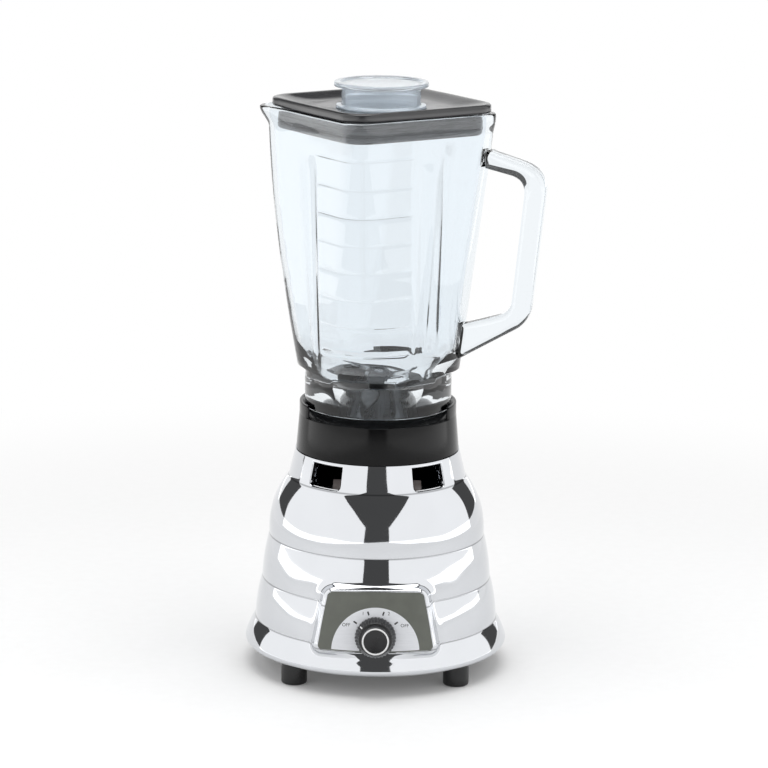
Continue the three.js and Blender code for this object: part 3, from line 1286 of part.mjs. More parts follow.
function buildBlades(jar) {
  const bearingRadius = BLADE_SHAFT_RADIUS + FIT + BLADE_BEARING_WALL;
  const boreRadius = bearingRadius + FIT;
  const flangeTopZ = bladeFlangeZ + BLADE_FLANGE_THICKNESS;
  const hubBottomZ = socketZ + SOCKET_HEIGHT + FIT;
  const socketRoom = SOCKET_RADIUS + 2 * FIT;
  const base = turned([
    [boreRadius, hubBottomZ],
    [boreRadius, bladeHubTopZ],
    [BLADE_HUB_RADIUS - 2, bladeHubTopZ],
    [BLADE_HUB_RADIUS, bladeHubTopZ - 2],
    [BLADE_HUB_RADIUS + 2, hubBottomZ + 2],
    [GLASS_NECK_BORE - 2, flangeTopZ + 3],
    [GLASS_NECK_BORE - 1, flangeTopZ],
    [GLASS_NECK_RADIUS - FIT, flangeTopZ],
    [GLASS_NECK_RADIUS - FIT, bladeFlangeZ],
    [GLASS_NECK_BORE - 4, bladeFlangeZ],
    [socketRoom, hubBottomZ - 2],
    [socketRoom, hubBottomZ],
  ], MEDIUM_ROUND, true);
  add('blade_base', base, STEEL, jar);
  add('blade_bearing', tube(bearingRadius, BLADE_SHAFT_RADIUS + FIT, hubBottomZ, bladeHubTopZ), BRONZE, jar);

  const washerZ = bladeHubTopZ + SEAT;
  const lowerZ = washerZ + WASHER_THICKNESS + SEAT;
  const upperZ = lowerZ + BLADE_THICKNESS + SEAT;
  const nutZ = upperZ + BLADE_THICKNESS + SEAT;
  const washer = tube(WASHER_RADIUS, BLADE_SHAFT_RADIUS + FIT, washerZ, washerZ + WASHER_THICKNESS);
  add('thrust_washer', washer, BRONZE, jar);
  const clearUnder = bladeGeometry(LOWER_BLADE_WING, LOWER_BLADE_BEND, lowerZ);
  add('lower_blade', clearUnder.rotateZ(Math.PI / 2), BLADE_STEEL, jar);
  add('upper_blade', bladeGeometry(UPPER_BLADE_WING, UPPER_BLADE_BEND, upperZ), BLADE_STEEL, jar);
  const nutHole = [polygon(SMALL_ROUND, BLADE_SHAFT_RADIUS + FIT)];
  add('blade_nut', plate(hexagon(BLADE_NUT_ACROSS + 2), nutHole, nutZ, nutZ + BLADE_NUT_HEIGHT), STEEL, jar);

  const halfSocket = STUD_SIDE / 2 + SOCKET_CLEARANCE;
  const socketEndZ = socketZ + SOCKET_HEIGHT - 2;
  const socketHole = box(-halfSocket, halfSocket, -halfSocket, halfSocket, socketZ - 1, socketEndZ);
  const socket = cut(cylinder(SOCKET_RADIUS, socketZ, socketZ + SOCKET_HEIGHT), socketHole);
  const spindle = cylinder(BLADE_SHAFT_RADIUS, socketZ + SOCKET_HEIGHT - 1, nutZ + BLADE_NUT_HEIGHT + 1);
  const shaft = join(socket, spindle).rotateZ(-jarTurn);
  add('blade_shaft', shaft, STEEL, jar);
}

// ---------------------------------------------------------------- lid and filler cap

function squareRow(halfWidth, corner, height, bow = 0) {
  const diagonal = halfWidth * Math.SQRT2 - corner * (Math.SQRT2 - 1);
  return jarAngles().map((angle) => {
    const bulge = bow * Math.sin(2 * angle) ** 2;
    const p = polar(roundedSquareRadius(angle, halfWidth, diagonal) + bulge, angle);
    return new THREE.Vector3(p.x, p.y, height);
  });
}

function buildLid(lid) {
  const edgeTop = LID_EDGE;
  const dishTop = LID_EDGE - LID_DISH;
  const plateBottom = dishTop - LID_PLATE;
  const skirtBottom = -SKIRT_HEIGHT;
  const inner = glassSection(glassTopZ - SKIRT_HEIGHT, GLASS_WALL).halfWidth - SKIRT_GAP;
  const hole = FILLER_BODY_RADIUS + FIT;
  const outline = loft([
    squareRow(inner, SKIRT_CORNER, 0),
    squareRow(LID_HALF_WIDTH - LID_FOOT_BEVEL.across, LID_CORNER, 0, LID_BOW),
    squareRow(LID_HALF_WIDTH, LID_CORNER, LID_FOOT_BEVEL.up, LID_BOW),
    squareRow(LID_HALF_WIDTH, LID_CORNER, edgeTop - LID_EDGE_BEVEL.down, LID_BOW),
    squareRow(LID_HALF_WIDTH - LID_EDGE_BEVEL.across, LID_CORNER, edgeTop, LID_BOW),
    squareRow(LID_HALF_WIDTH - LID_RIM_WIDTH, LID_CORNER - 2, edgeTop - LID_RIM_FALL, LID_BOW),
    squareRow(LID_HALF_WIDTH - LID_RAMP, LID_CORNER + 8, dishTop + LID_RAMP_FALL),
    roundRow(FILLER_FLANGE_RADIUS + 1.5, dishTop),
    roundRow(hole, dishTop),
    roundRow(hole, plateBottom),
    squareRow(inner - SKIRT_WALL - 4, SKIRT_CORNER, plateBottom),
    squareRow(inner - SKIRT_WALL, SKIRT_CORNER - 2, plateBottom - 2),
    squareRow(inner - SKIRT_WALL, SKIRT_CORNER - 2, skirtBottom),
    squareRow(inner - 1, SKIRT_CORNER - 1, skirtBottom),
    squareRow(inner, SKIRT_CORNER, skirtBottom + 2),
  ], true);
  add('lid', outline, LID_PLASTIC, lid);
}

// An upside-down cup: a wide top with a raised edge, a flange that rests on the lid, an open lower end
function buildFillerCap(cap) {
  const topZ = FILLER_CAP_HEIGHT;
  const topUnder = topZ - FILLER_TOP_THICKNESS;
  const recessRadius = FILLER_BODY_RADIUS + 1;
  const inner = FILLER_BODY_RADIUS - FILLER_WALL;
  add('filler_cap', turned([
    [0, topZ - FILLER_TOP_RECESS],
    [recessRadius, topZ - FILLER_TOP_RECESS],
    [recessRadius + FILLER_TOP_RECESS, topZ],
    [FILLER_CAP_RADIUS - 0.8, topZ],
    [FILLER_CAP_RADIUS, topZ - 0.8],
    [FILLER_CAP_RADIUS, topUnder + 0.6],
    [FILLER_CAP_RADIUS - 0.8, topUnder],
    [FILLER_BODY_RADIUS, topUnder - 0.4],
    [FILLER_BODY_RADIUS, FILLER_FLANGE_THICKNESS],
    [FILLER_FLANGE_RADIUS, FILLER_FLANGE_THICKNESS - 0.4],
    [FILLER_FLANGE_RADIUS, 0],
    [FILLER_BODY_RADIUS, 0],
    [FILLER_BODY_RADIUS - 0.6, -FILLER_SPIGOT],
    [inner - 0.6, -FILLER_SPIGOT],
    [inner, topUnder - 0.6],
    [0, topUnder - 0.6],
  ], MEDIUM_ROUND), CLEAR_PLASTIC, cap);
}

// ---------------------------------------------------------------- the whole blender

const blender = new THREE.Group();

const driveAxis = new THREE.Group();
driveAxis.position.set(driveAxisX, driveAxisY, 0);
blender.add(driveAxis);

buildHousing(driveAxis);
buildCordInlet(driveAxis);
buildBottom(driveAxis);
buildCollar(driveAxis);
buildSwitch(driveAxis);
buildStator(driveAxis);
buildBrackets(driveAxis);
buildBrushes(driveAxis);
buildArmature(driveAxis);

const jar = new THREE.Group();
jar.position.z = jarZ;
jar.rotation.z = jarTurn;
driveAxis.add(jar);
buildJar(jar);
buildBlades(jar);

const lid = new THREE.Group();
lid.position.z = lidZ;
jar.add(lid);
buildLid(lid);

const fillerCap = new THREE.Group();
fillerCap.position.z = fillerZ;
jar.add(fillerCap);
buildFillerCap(fillerCap);

export default blender;
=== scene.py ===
import json
import math

import bmesh
import bpy
import numpy as np
from bpy.props import FloatProperty, FloatVectorProperty, IntProperty, PointerProperty
from mathutils import Matrix, Vector


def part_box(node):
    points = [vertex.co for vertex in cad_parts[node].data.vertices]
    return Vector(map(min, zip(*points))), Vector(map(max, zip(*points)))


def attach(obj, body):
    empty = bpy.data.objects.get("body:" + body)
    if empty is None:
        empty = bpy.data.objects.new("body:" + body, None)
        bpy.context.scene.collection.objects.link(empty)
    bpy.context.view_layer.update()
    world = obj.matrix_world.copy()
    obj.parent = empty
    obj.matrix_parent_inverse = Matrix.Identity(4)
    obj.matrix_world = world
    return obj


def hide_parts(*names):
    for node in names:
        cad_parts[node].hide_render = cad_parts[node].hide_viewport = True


bl_info = {
    "name": "Countertop Blender Looks",
    "version": (1, 0, 0),
    "blender": (4, 5, 0),
    "location": "View3D > Sidebar > Blender Looks",
    "description": "Builds the visible pieces and finishes of a countertop blender on its packed frame",
    "category": "Add Mesh",
}

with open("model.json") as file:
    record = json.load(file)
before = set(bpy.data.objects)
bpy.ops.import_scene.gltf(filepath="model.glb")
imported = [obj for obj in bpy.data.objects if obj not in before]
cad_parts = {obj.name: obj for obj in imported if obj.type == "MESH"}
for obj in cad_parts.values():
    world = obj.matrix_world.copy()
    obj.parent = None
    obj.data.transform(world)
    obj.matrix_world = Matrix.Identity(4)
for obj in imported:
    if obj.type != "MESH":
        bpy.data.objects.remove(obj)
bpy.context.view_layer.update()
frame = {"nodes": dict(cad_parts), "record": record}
MM = 0.001


# ---------------- places, in millimetres

def node_box(name):
    """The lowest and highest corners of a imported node, in millimetres."""
    low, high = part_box(name)
    return np.array(low) / MM, np.array(high) / MM


def node_levels(name):
    """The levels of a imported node's underside and top, in millimetres."""
    low, high = node_box(name)
    return low[2], high[2]


def joint_place(name):
    """A joint's anchor in millimetres and its axis."""
    joints = frame["record"]["behaviour"]["joints"]
    joint = next(entry for entry in joints if entry["name"] == name)
    return np.array(joint["pos_m"]) / MM, np.array(joint["axis"], float)


HOUSING_BOTTOM, HOUSING_TOP = node_levels("base_housing")
COLLAR_BOTTOM, COLLAR_TOP = node_levels("collar_ring")
JAR_BASE_BOTTOM, JAR_BASE_TOP = node_levels("jar_base_cap")
GLASS_BOTTOM = node_levels("jar_glass")[0]
LID_TOP = node_levels("lid")[1]
CAP_TOP = node_levels("filler_cap")[1]
AXIS = joint_place("armature_spin")[0][:2]
KNOB_ORIGIN, PANEL_NORMAL = joint_place("knob_turn")

# The corners of a rectangle, once round
CORNER_SIGNS = ((-1, -1), (1, -1), (1, 1), (-1, 1))

# Housing
SHEET = 1.2
TOP_HOLE_RADIUS = 12.0
NECK_Z = HOUSING_TOP - 18.2
NECK_RADII = (59.3, 54.9)
# Each ring of the housing: the radius and height where it starts, and how far it swells before the next
RINGS = (
    (85.6, HOUSING_BOTTOM, 0.7),
    (88.0, HOUSING_BOTTOM + 3.8, 0.7),
    (81.2, HOUSING_BOTTOM + 18.2, 1.0),
    (76.8, HOUSING_BOTTOM + 46.2, 0.8),
    (72.2, HOUSING_BOTTOM + 75.7, 3.9),
    (NECK_RADII[0], NECK_Z, 0.0),
)
ARC_STEPS = 60
CREASE_REACH = 1.5
CREASE_SAMPLES = 25
CREASE_ZONE = 4
FINE_ROW = 0.4
COARSE_ROW = 1.2
PANEL_ROWS = (HOUSING_BOTTOM + 13, HOUSING_BOTTOM + 61)
PANEL_HALF_ANGLE = 35
NECK_ROWS = 8
# The edge turned in under the housing: radius, and height above the bottom
BOTTOM_LIP = ((84.4, SHEET), (83.0, SHEET), (83.0, 0.2), (83.3, 0.0))
WINDOW_MIDDLES = (37.0, 143.0, 217.0, 323.0)
WINDOW_HALF_ANGLE = 12.6
WINDOW_PATCH_ANGLE = 18.0
WINDOW_SILL = NECK_Z + 0.9
WINDOW_HEAD = HOUSING_TOP - 2.2
WINDOW_CORNER = 3.0
WINDOW_ROLL = 1.0

# Dial plate, in the panel's own plane round the knob's axis
PLATE_TOP = 29.7
PLATE_BOTTOM = -7.9
PLATE_TOP_HALF = 31.0
PLATE_BOTTOM_HALF = 38.0
PLATE_BOW = 2.2
PLATE_CORNER = 3.0
PLATE_POINTS = 240
PLATE_SEARCH = 60.0
BORDER = 2.4
BOSS_FLARE = 0.2
BOSS_REACH = 0.5  # cosine of the angle from the front beyond which there is no boss
BOSS_EDGE = 1.6
BOSS_BLEND = 4.0
BOSS_SEARCH = (3, 14)  # how far inside and outside the rings the boss is looked for
BEAD_FOOT = 0.3
# The bead across its rib: how far out from the plate's edge, and what portion of its height
BEAD_SHAPE = ((-0.1, 0.6), (0.15, 0.9), (0.55, 1.0), (0.95, 0.9), (1.3, 0.55), (1.7, 0.1))
# The dark line along each crease, tarnish and painted shade: half its height and how softly it ends
TARNISH_AND_SHADE_HALF_HEIGHT = 0.4
TARNISH_AND_SHADE_SOFTNESS = 0.5
TARNISH_AND_SHADE_AMOUNT = 0.75
TARNISH_AND_SHADE_TONE = 0.25

DISC_CENTRE = -9.3
DISC_MARGIN = 0.8
DISC_LEVELS = (0.69, 0.76)
DISC_STEPS = 180
# Where the disc's round edge starts and how far it turns, in half turns
DISC_START = 1.06
DISC_SWEEP = 1.12
PRINT_LEVEL = 0.77
MARK_REACH = 16.4
MARK_SIZE = (2.6, 1.0)
FIGURE_SIZE = 3.1
# Each mark's angle from the right, its figure and where the figure's middle is
DIAL_MARKS = (
    (144, "OFF", -19.2, 8.0),
    (107, "1", -8.2, 15.6),
    (72, "2", 8.6, 15.6),
    (35, "OFF", 19.0, 7.8),
)

# Knob
RIB_POINTS = 8
RIB_FULLNESS = 0.6
# Profiles are (radius, height) with the rounding of the corner; the skirt's third number is its ribs' depth
KNOB_UNDER = ((0, 15.0), (3.3, 15.0), (3.3, 3.0, 0.2), (5.1, 3.0, 0.2), (5.1, 7.2, 0.3), (9.2, 7.2, 0.4),
              (11.7, 1.2))
KNOB_FOOT = (12.9, 1.05)
KNOB_SKIRT = ((13.3, 1.15, 0.5), (13.5, 1.6, 0.5), (13.5, 2.8, 0.5), (12.9, 4.4, 0.5), (11.9, 7.2, 0.5),
              (11.1, 9.0, 0.45))
KNOB_CAP = ((10.9, 9.6), (10.4, 10.0, 0.3), (9.25, 10.1, 0.4), (9.2, 18.25, 0.5), (7.6, 18.25, 0.15),
            (7.4, 17.8, 0.3), (0, 17.6))
KNOB_RING = ((7.75, 18.25, 0.02), (7.75, 18.32, 0.02), (8.8, 18.32, 0.02), (8.8, 18.25, 0.02))
POINTER_SIZE = (3.4, 0.9)
POINTER_PLACE = (11.3, 0, 8.85)
POINTER_SLOPE = math.radians(22)
POINTER_TURN = math.radians(141)

# Collar and feet
EAR_RADIUS = 52.3
EAR_WALL = 2.2
EAR_HEIGHT = 11.5
EAR_HALF_ANGLE = math.radians(27)
EAR_STEPS = 36
# The last part of an ear's half length, over which its end is rounded off
EAR_END_START = 0.93
EAR_END_LENGTH = 0.07
EAR_END_DROP = 1.5
FOOT_PROFILE = (
    (4.4, 7.0, 0.3), (4.4, 0.0, 0.5), (8.5, 0.0, 1.4), (8.7, 13.9, 0.6), (6.4, 14.0, 0.1),
    (6.4, 15.5, 0.2), (2.3, 15.5, 0.1), (2.3, 7.0, 0.1),
)

# Jar
JAR_TURN = math.radians(-12.3)
GLASS_WALL = 4.0
BODY_Z = GLASS_BOTTOM + 45.5
BODY_HEIGHT = 171.0
GLASS_TOP = BODY_Z + BODY_HEIGHT
# Half the width and half the diagonal of the glass body, at its foot and at its rim
BODY_HALF_WIDTHS = (49.2, 57.5)
BODY_HALF_DIAGONALS = (54.5, 75.6)
BODY_FULLNESS = 0.25
CORNER_FULLNESS = 1.35
CORNER_WALL = 1.15
LEAN = 1.8
SPOUT_HEIGHT = 14.0
SPOUT_REACH = 5.5
SPOUT_HALF_ANGLE = math.radians(15)
FLUTE_HEAD = 8.5
FLUTE_FOOT = 3.0
FLUTE_DEPTH = 1.0
# How far below the rim the flutes end, and over what height they fade in at each end
FLUTE_END = 24
FLUTE_TOP_FADE = 14
FLUTE_FOOT_FADE = 30
LINE_START = GLASS_BOTTOM + 62.25
LINE_SPACING = 18.5
LINE_COUNT = 8
LINE_HALF_HEIGHT = 0.7
LINE_HALF_ANGLE = math.radians(35)
LINE_FADE = math.radians(3)
BORE_RADIUS = 30.0
# The bowl inside the glass: radius, and height above the foot of the neck
BOWL = ((BORE_RADIUS, 14.0), (31.6, 20.0), (35.5, 30.0), (41.0, 42.0), (43.4, 52.0), (44.6, 62.0))
BOWL_ROUND = 36
# Rounded rims of the glass, outside and inside: height from the rim, and how far out
RIM_OUTSIDE = ((-0.9, 0.75), (-0.35, 0.3), (-0.08, -0.4), (0.0, -1.2))
RIM_INSIDE = ((-0.7, 0.25), (-0.2, 0.8), (0.02, 1.5), (1, 1.5))
RIM_START = 1.6
# The handle's outline: how far out from the axis, height above the neck's foot, and rounding
HANDLE_OUTLINE = (
    (70.6, 193.5, 0.0), (112.2, 181.0, 20.0), (101.6, 80.0, 20.0), (52.5, 51.5, 0.0),
    (52.5, 75.1, 0.0), (89.2, 86.0, 13.0), (97.8, 174.5, 12.0), (70.6, 181.0, 0.0),
)
HANDLE_HALF = 7.5
HANDLE_ROUNDING = 3.2
# Angles round the jar, close together at the corners and the flutes
HALF_QUARTER = (0, 2, 4, 6, 8, 10.5, 13, 16, 19, 22, 25, 28, 31, 33, 34.5, 36, 37.2, 38.4, 39.6, 40.8, 42, 43,
                44)
QUARTER = (*HALF_QUARTER, 45, *(90 - angle for angle in reversed(HALF_QUARTER[1:])))
JAR_ANGLES = [math.radians(start + angle) for start in (0, 90, 180, 270) for angle in QUARTER]
JAR_BASE_RIBS = 48

# Lid
LID_BASE = LID_TOP - 6.0
LID_HALF = 56.4
LID_CORNER = 16.0
LID_BOW = 0.6
LID_INNER = 51.36
INNER_CORNER = 13.5
RIM_INSET = 2.6
RIM_CORNER = 11.5
# The lid's edge: how far in, how much rounder the corner, height above the base, and share of the bow
LID_EDGE = (
    (1.6, 0, 0.0, 1), (0.6, 0, 0.25, 1), (0.1, 0, 0.9, 1), (0.0, 0, 1.8, 1), (0.0, 0, 4.2, 1),
    (0.25, 0, 5.1, 1), (0.9, 0, 5.75, 1), (1.9, 0, 6.0, 1), (3.2, -1, 5.85, 1), (4.8, -1, 5.3, 1),
    (7, 0, 4.4, 0.8), (10, 3, 3.1, 0.5), (13, 6, 2.1, 0), (15, 8, 1.75, 0), (17, 12, 1.55, 0),
)
# Circles of the filler hole: radius, and height above the seat or above the lid's underside
LID_SEAT = ((33.2, 0.3), (32.2, 0.12), (31.3, 0.0), (27.2, 0.0), (26.5, -0.25), (26.3, -0.7))
LID_UNDER = ((26.3, 0.3), (26.6, 0.0))
# The skirt and its two grooves: how far in, the corner, and height above the skirt's bottom
SKIRT_FACE = (
    (2.4, 11.5, 0.4), (2.0, 12.0, 0.0), (1.3, 12.5, 0.0), (0.5, 13.2, 0.7), (0.0, 13.5, 2.0),
    (0.0, 13.5, 4.2), (0.35, 13.3, 4.6), (0.35, 13.3, 5.2), (0.0, 13.5, 5.6),
    (0.0, 13.5, 8.4), (0.35, 13.3, 8.8), (0.35, 13.3, 9.4), (0.0, 13.5, 9.8),
)

# Studio, in metres but for the camera's film
FLOOR_Z = -0.0002
OVERHEAD_SIZE = (1.6, 1.6)
SENSOR_WIDTH = 36.0
VIEW_DEPTH = 20.0
# Distances between which the floor passes from its own shade to plain white
SHADOW_SPAN = (0.3, 0.8)


# ---------------- settings

def length(name, description, millimetres):
    """A length that is shown in the panel; its default is given in millimetres."""
    return FloatProperty(name=name, description=description, default=millimetres * MM, min=0.0,
                         precision=5, subtype="DISTANCE", unit="LENGTH")


def colour(name, description, value):
    """A linear colour that is shown in the panel."""
    return FloatVectorProperty(name=name, description=description, default=value, min=0.0, max=1.0,
                               subtype="COLOR", size=3)


def share(name, description, value):
    """A number from 0 to 1 that is shown in the panel."""
    return FloatProperty(name=name, description=description, default=value, min=0.0, max=1.0,
                         subtype="FACTOR")


def brightness(name, description, value):
    """A lamp's brightness, where 1 mirrors as white."""
    return FloatProperty(name=name, description=description, default=value, min=0.0)


class StudioSettings(bpy.types.PropertyGroup):
    camera_distance: length("Camera distance", "From the drive axis, level with the floor", 2100.0)
    camera_height: length("Camera height", "Above the floor", 667.8)
    focal_length: FloatProperty(name="Focal length", description="For a 36 mm wide sensor",
                                default=151.34, min=10.0, unit="CAMERA")
    camera_pitch: FloatProperty(name="Camera pitch", description="How far the camera looks down",
                                default=math.radians(12.786), subtype="ANGLE", unit="ROTATION")
    camera_yaw: FloatProperty(name="Camera yaw", description="How far the camera looks to the right",
                              default=math.radians(0.106), subtype="ANGLE", unit="ROTATION")
    camera_roll: FloatProperty(name="Camera roll", description="Turn about the line of sight",
                               default=math.radians(0.651), subtype="ANGLE", unit="ROTATION")
    floor_colour: colour("Floor", "Colour of the floor", (0.86, 0.86, 0.86))
    floor_half_width: length("Floor half width", "Half the width of the floor", 12000.0)
    floor_lift: share("Floor lift", "How far the floor is lifted to white where it is seen", 0.08)
    room: share("Room", "Brightness of the even room round the softboxes", 0.08)
    softbox: brightness("Side softboxes", "Brightness of the two softboxes at the sides", 1.16)
    overhead: brightness("Overhead softbox", "Brightness of the softbox above", 3.1)
    rear: brightness("Rear softbox", "Brightness of the softbox behind", 1.0)
    box_distance: length("Softbox distance", "From the drive axis to each side softbox", 900.0)
    box_length: length("Softbox length", "Along the sides, front to back", 4300.0)
    box_back: length("Softbox back", "How far the side softboxes reach behind the drive axis", 440.0)
    box_height: length("Softbox height", "Height of the side softboxes", 1500.0)
    overhead_height: length("Overhead height", "Height of the softbox above", 1900.0)
    rear_distance: length("Rear distance", "From the drive axis to the softbox behind", 2600.0)
    rear_width: length("Rear width", "Width of the softbox behind", 3800.0)
    rear_height: length("Rear height", "Height of the softbox behind", 2000.0)


class HousingSettings(bpy.types.PropertyGroup):
    chrome: colour("Chrome", "Colour of the polished plating", (0.66, 0.675, 0.70))
    polish: share("Roughness", "Roughness of the plating", 0.05)
    crease: length("Crease", "How softly one ring meets the next", 0.9)
    waviness: length("Waviness", "Depth of the slow waves in the pressed sheet", 0.6)
    bead: length("Panel bead", "Height of the bright bead round the dial plate", 0.9)
    window_lip: length("Window lip", "How far the edge of each window is turned in", 3.0)


class DialSettings(bpy.types.PropertyGroup):
    plate: colour("Plate", "Painted ground of the dial plate", (0.125, 0.132, 0.114))
    half_disc: colour("Half disc", "Silver half disc behind the knob", (0.80, 0.815, 0.85))
    mark: colour("Marks", "Printed marks and figures", (0.03, 0.03, 0.032))
    disc_radius: length("Disc radius", "Radius of the silver half disc", 28.8)


class KnobSettings(bpy.types.PropertyGroup):
    black: colour("Black", "Colour of the knob", (0.012, 0.012, 0.013))
    ring: colour("Ring", "Printed ring and pointer", (0.80, 0.80, 0.80))
    ribs: IntProperty(name="Ribs", description="Grip ribs round the skirt", default=36, min=8)


class CollarSettings(bpy.types.PropertyGroup):
    black: colour("Black", "Colour of the collar and the jar's base", (0.0035, 0.0035, 0.0037))
    edge: length("Edge", "Rounding of the moulded edges", 0.8)


class FootSettings(bpy.types.PropertyGroup):
    rubber: colour("Rubber", "Colour of the feet", (0.0045, 0.0045, 0.005))


class JarSettings(bpy.types.PropertyGroup):
    glass: colour("Glass", "Tint of the glass", (0.885, 0.925, 0.955))
    line_relief: length("Line relief", "How far the measuring lines stand out of the glass", 0.16)


class BladeSettings(bpy.types.PropertyGroup):
    steel: colour("Steel", "Colour of the ground blades", (0.62, 0.63, 0.64))


class LidSettings(bpy.types.PropertyGroup):
    charcoal: colour("Lid", "Colour of the lid", (0.026, 0.026, 0.028))
    # The skirt is written a far lighter grey than the lid's charcoal: a painted sheen, the softboxes'
    # reflection in the glossy skirt
    skirt: colour("Skirt", "Colour of the lid's skirt", (0.115, 0.113, 0.115))
    cap: colour("Filler cap", "Tint of the clear cap", (0.88, 0.92, 0.955))
    cap_clearness: share("Cap clearness", "How much light the milky cap lets through", 0.78)


class BlenderLooksSettings(bpy.types.PropertyGroup):
    studio: PointerProperty(type=StudioSettings)
    housing: PointerProperty(type=HousingSettings)
    dial: PointerProperty(type=DialSettings)
    knob: PointerProperty(type=KnobSettings)
    collar: PointerProperty(type=CollarSettings)
    foot: PointerProperty(type=FootSettings)
    jar: PointerProperty(type=JarSettings)
    blade: PointerProperty(type=BladeSettings)
    lid: PointerProperty(type=LidSettings)


def settings_of(context):
    """All the settings, which live on the scene."""
    return context.scene.blender_looks


# ---------------- shapes

def level_ring(radii, z, angles=JAR_ANGLES):
    """Points of a level ring: one radius for all the angles, or one for each."""
    radii = np.broadcast_to(radii, len(angles))
    return [(radius * math.cos(angle), radius * math.sin(angle), z) for radius, angle in zip(radii, angles)]


def even_angles(count):
    """Evenly spaced angles round a circle."""
    return [2 * math.pi * i / count for i in range(count)]


def rings_of(profile, count):
    """Level circles from a profile of radii and heights; one without a radius is the point of a pole."""
    return [[(0.0, 0.0, z)] if radius < 1e-6 else level_ring(radius, z, even_angles(count))
            for radius, z in profile]


def skin(rings, closed=False):
    """Joins rings of points, each with as many points or with one, into quads and triangles."""
    vertices, starts, faces = [], [], []
    for ring in rings:
        starts.append(len(vertices))
        vertices.extend(tuple(point) for point in ring)
    for lower in range(len(rings) if closed else len(rings) - 1):
        upper = (lower + 1) % len(rings)
        low_count, high_count = len(rings[lower]), len(rings[upper])
        count = max(low_count, high_count)
        for i in range(count):
            after = (i + 1) % count
            corners = (
                starts[lower] + i % low_count, starts[lower] + after % low_count,
                starts[upper] + after % high_count, starts[upper] + i % high_count,
            )
            faces.append(tuple(dict.fromkeys(corners)))
    return vertices, faces


def rounded(points, steps=4, closed=False):
    """A profile with its corners rounded; a point's third number is the rounding of its corner."""
    result = []
    count = len(points)
    for i, point in enumerate(points):
        here = np.array(point[:2], float)
        rounding = point[2] if len(point) > 2 else 0.0
        if rounding == 0 or (not closed and i in (0, count - 1)):
            result.append(tuple(here))
            continue
        before = np.array(points[i - 1][:2], float) - here
        after = np.array(points[(i + 1) % count][:2], float) - here
        lengths = np.linalg.norm(before), np.linalg.norm(after)
        before, after = before / lengths[0], after / lengths[1]
        half_turn = math.acos(max(-1.0, min(1.0, float(before @ after)))) / 2
        reach = min(rounding / math.tan(half_turn), 0.48 * min(lengths))
        start, end = here + before * reach, here + after * reach
        for step in range(steps + 1):
            t = step / steps
            result.append(tuple((1 - t) ** 2 * start + 2 * t * (1 - t) * here + t * t * end))
    return result


def revolve(profile, count, closed=False):
    """A profile of radii and heights turned about the drive axis."""
    return skin(rings_of(profile, count), closed)


def merged(*parts):
    """Several point and face lists as one."""
    vertices, faces = [], []
    for part_vertices, part_faces in parts:
        start = len(vertices)
        vertices.extend(part_vertices)
        faces.extend(tuple(start + i for i in face) for face in part_faces)
    return vertices, faces


def moved(part, matrix):
    """A point and face list under a matrix, in millimetres."""
    vertices, faces = part
    return [tuple(matrix @ Vector(point)) for point in vertices], faces


def quarter_round(radius, turn):
    """How far in and how far along a rounded edge is, part of the way through its quarter turn."""
    return radius * (1 - math.sin(turn)), radius * (1 - math.cos(turn))


def extruded(outline, low, high, rounding=0.0, steps=3):
    """A flat plate from an outline, with rounded upper and lower edges."""
    quarter = math.pi / 2
    rings = []
    for level, side, start in ((low, 1, 0), (high, -1, quarter)):
        for turn in np.linspace(start, quarter - start, steps + 1) if rounding else [quarter]:
            inset, rise = quarter_round(rounding, turn)
            rings.append(shrunk(outline, inset, level + side * rise))
    vertices, faces = skin(rings)
    count = len(outline)
    faces.append(tuple(reversed(range(count))))
    faces.append(tuple(range(len(vertices) - count, len(vertices))))
    return vertices, faces


def shrunk(outline, inset, height):
    """An outline moved in by the inset, at a height."""
    points = np.array([point[:2] for point in outline], float)
    along = np.roll(points, -1, 0) - np.roll(points, 1, 0)
    along /= np.linalg.norm(along, axis=1)[:, None]
    area = np.sum(points[:, 0] * np.roll(points[:, 1], -1) - np.roll(points[:, 0], -1) * points[:, 1])
    inward = np.stack([-along[:, 1], along[:, 0]], 1) * (1 if area > 0 else -1)
    return [(x, y, height) for x, y in points + inward * inset]


def mesh_object(name, part, joined=False):
    """A linked mesh object from a point and face list, with its faces looking outwards."""
    mesh = bpy.data.meshes.new(name)
    mesh.from_pydata([tuple(point) for point in part[0]], [], part[1])
    mesh.update()
    tidy = bmesh.new()
    tidy.from_mesh(mesh)
    if joined:
        bmesh.ops.remove_doubles(tidy, verts=tidy.verts, dist=1e-6)
    bmesh.ops.recalc_face_normals(tidy, faces=tidy.faces)
    tidy.to_mesh(mesh)
    tidy.free()
    obj = bpy.data.objects.new(name, mesh)
    bpy.context.collection.objects.link(obj)
    return obj


def evaluated_part(obj):
    """The point and face list of an object as it is seen."""
    bpy.context.view_layer.update()
    mesh = obj.evaluated_get(bpy.context.evaluated_depsgraph_get()).to_mesh()
    return [tuple(v.co) for v in mesh.vertices], [tuple(p.vertices) for p in mesh.polygons]


def piece(name, part, body, material, stands_for=(), sharp=40.0):
    """A mesh object from a point and face list round the drive axis, which rides on a body."""
    world = [((x + AXIS[0]) * MM, (y + AXIS[1]) * MM, z * MM) for x, y, z in part[0]]
    obj = mesh_object(name, (world, part[1]), joined=True)
    obj.data.materials.append(material)
    obj.data.shade_smooth()
    obj.data.set_sharp_from_angle(angle=math.radians(sharp))
    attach(obj, body)
    if stands_for:
        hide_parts(*stands_for)


def combined(operation, body, tool):
    """The point and face list of body and tool united, or of body less tool."""
    target, cutter = mesh_object("combined_body", body), mesh_object("combined_tool", tool)
    modifier = target.modifiers.new("cut", "BOOLEAN")
    modifier.operation = operation
    modifier.solver = "EXACT"
    modifier.object = cutter
    part = evaluated_part(target)
    for obj in (target, cutter):
        data = obj.data
        bpy.data.objects.remove(obj)
        bpy.data.meshes.remove(data)
    return part


# ---------------- finishes

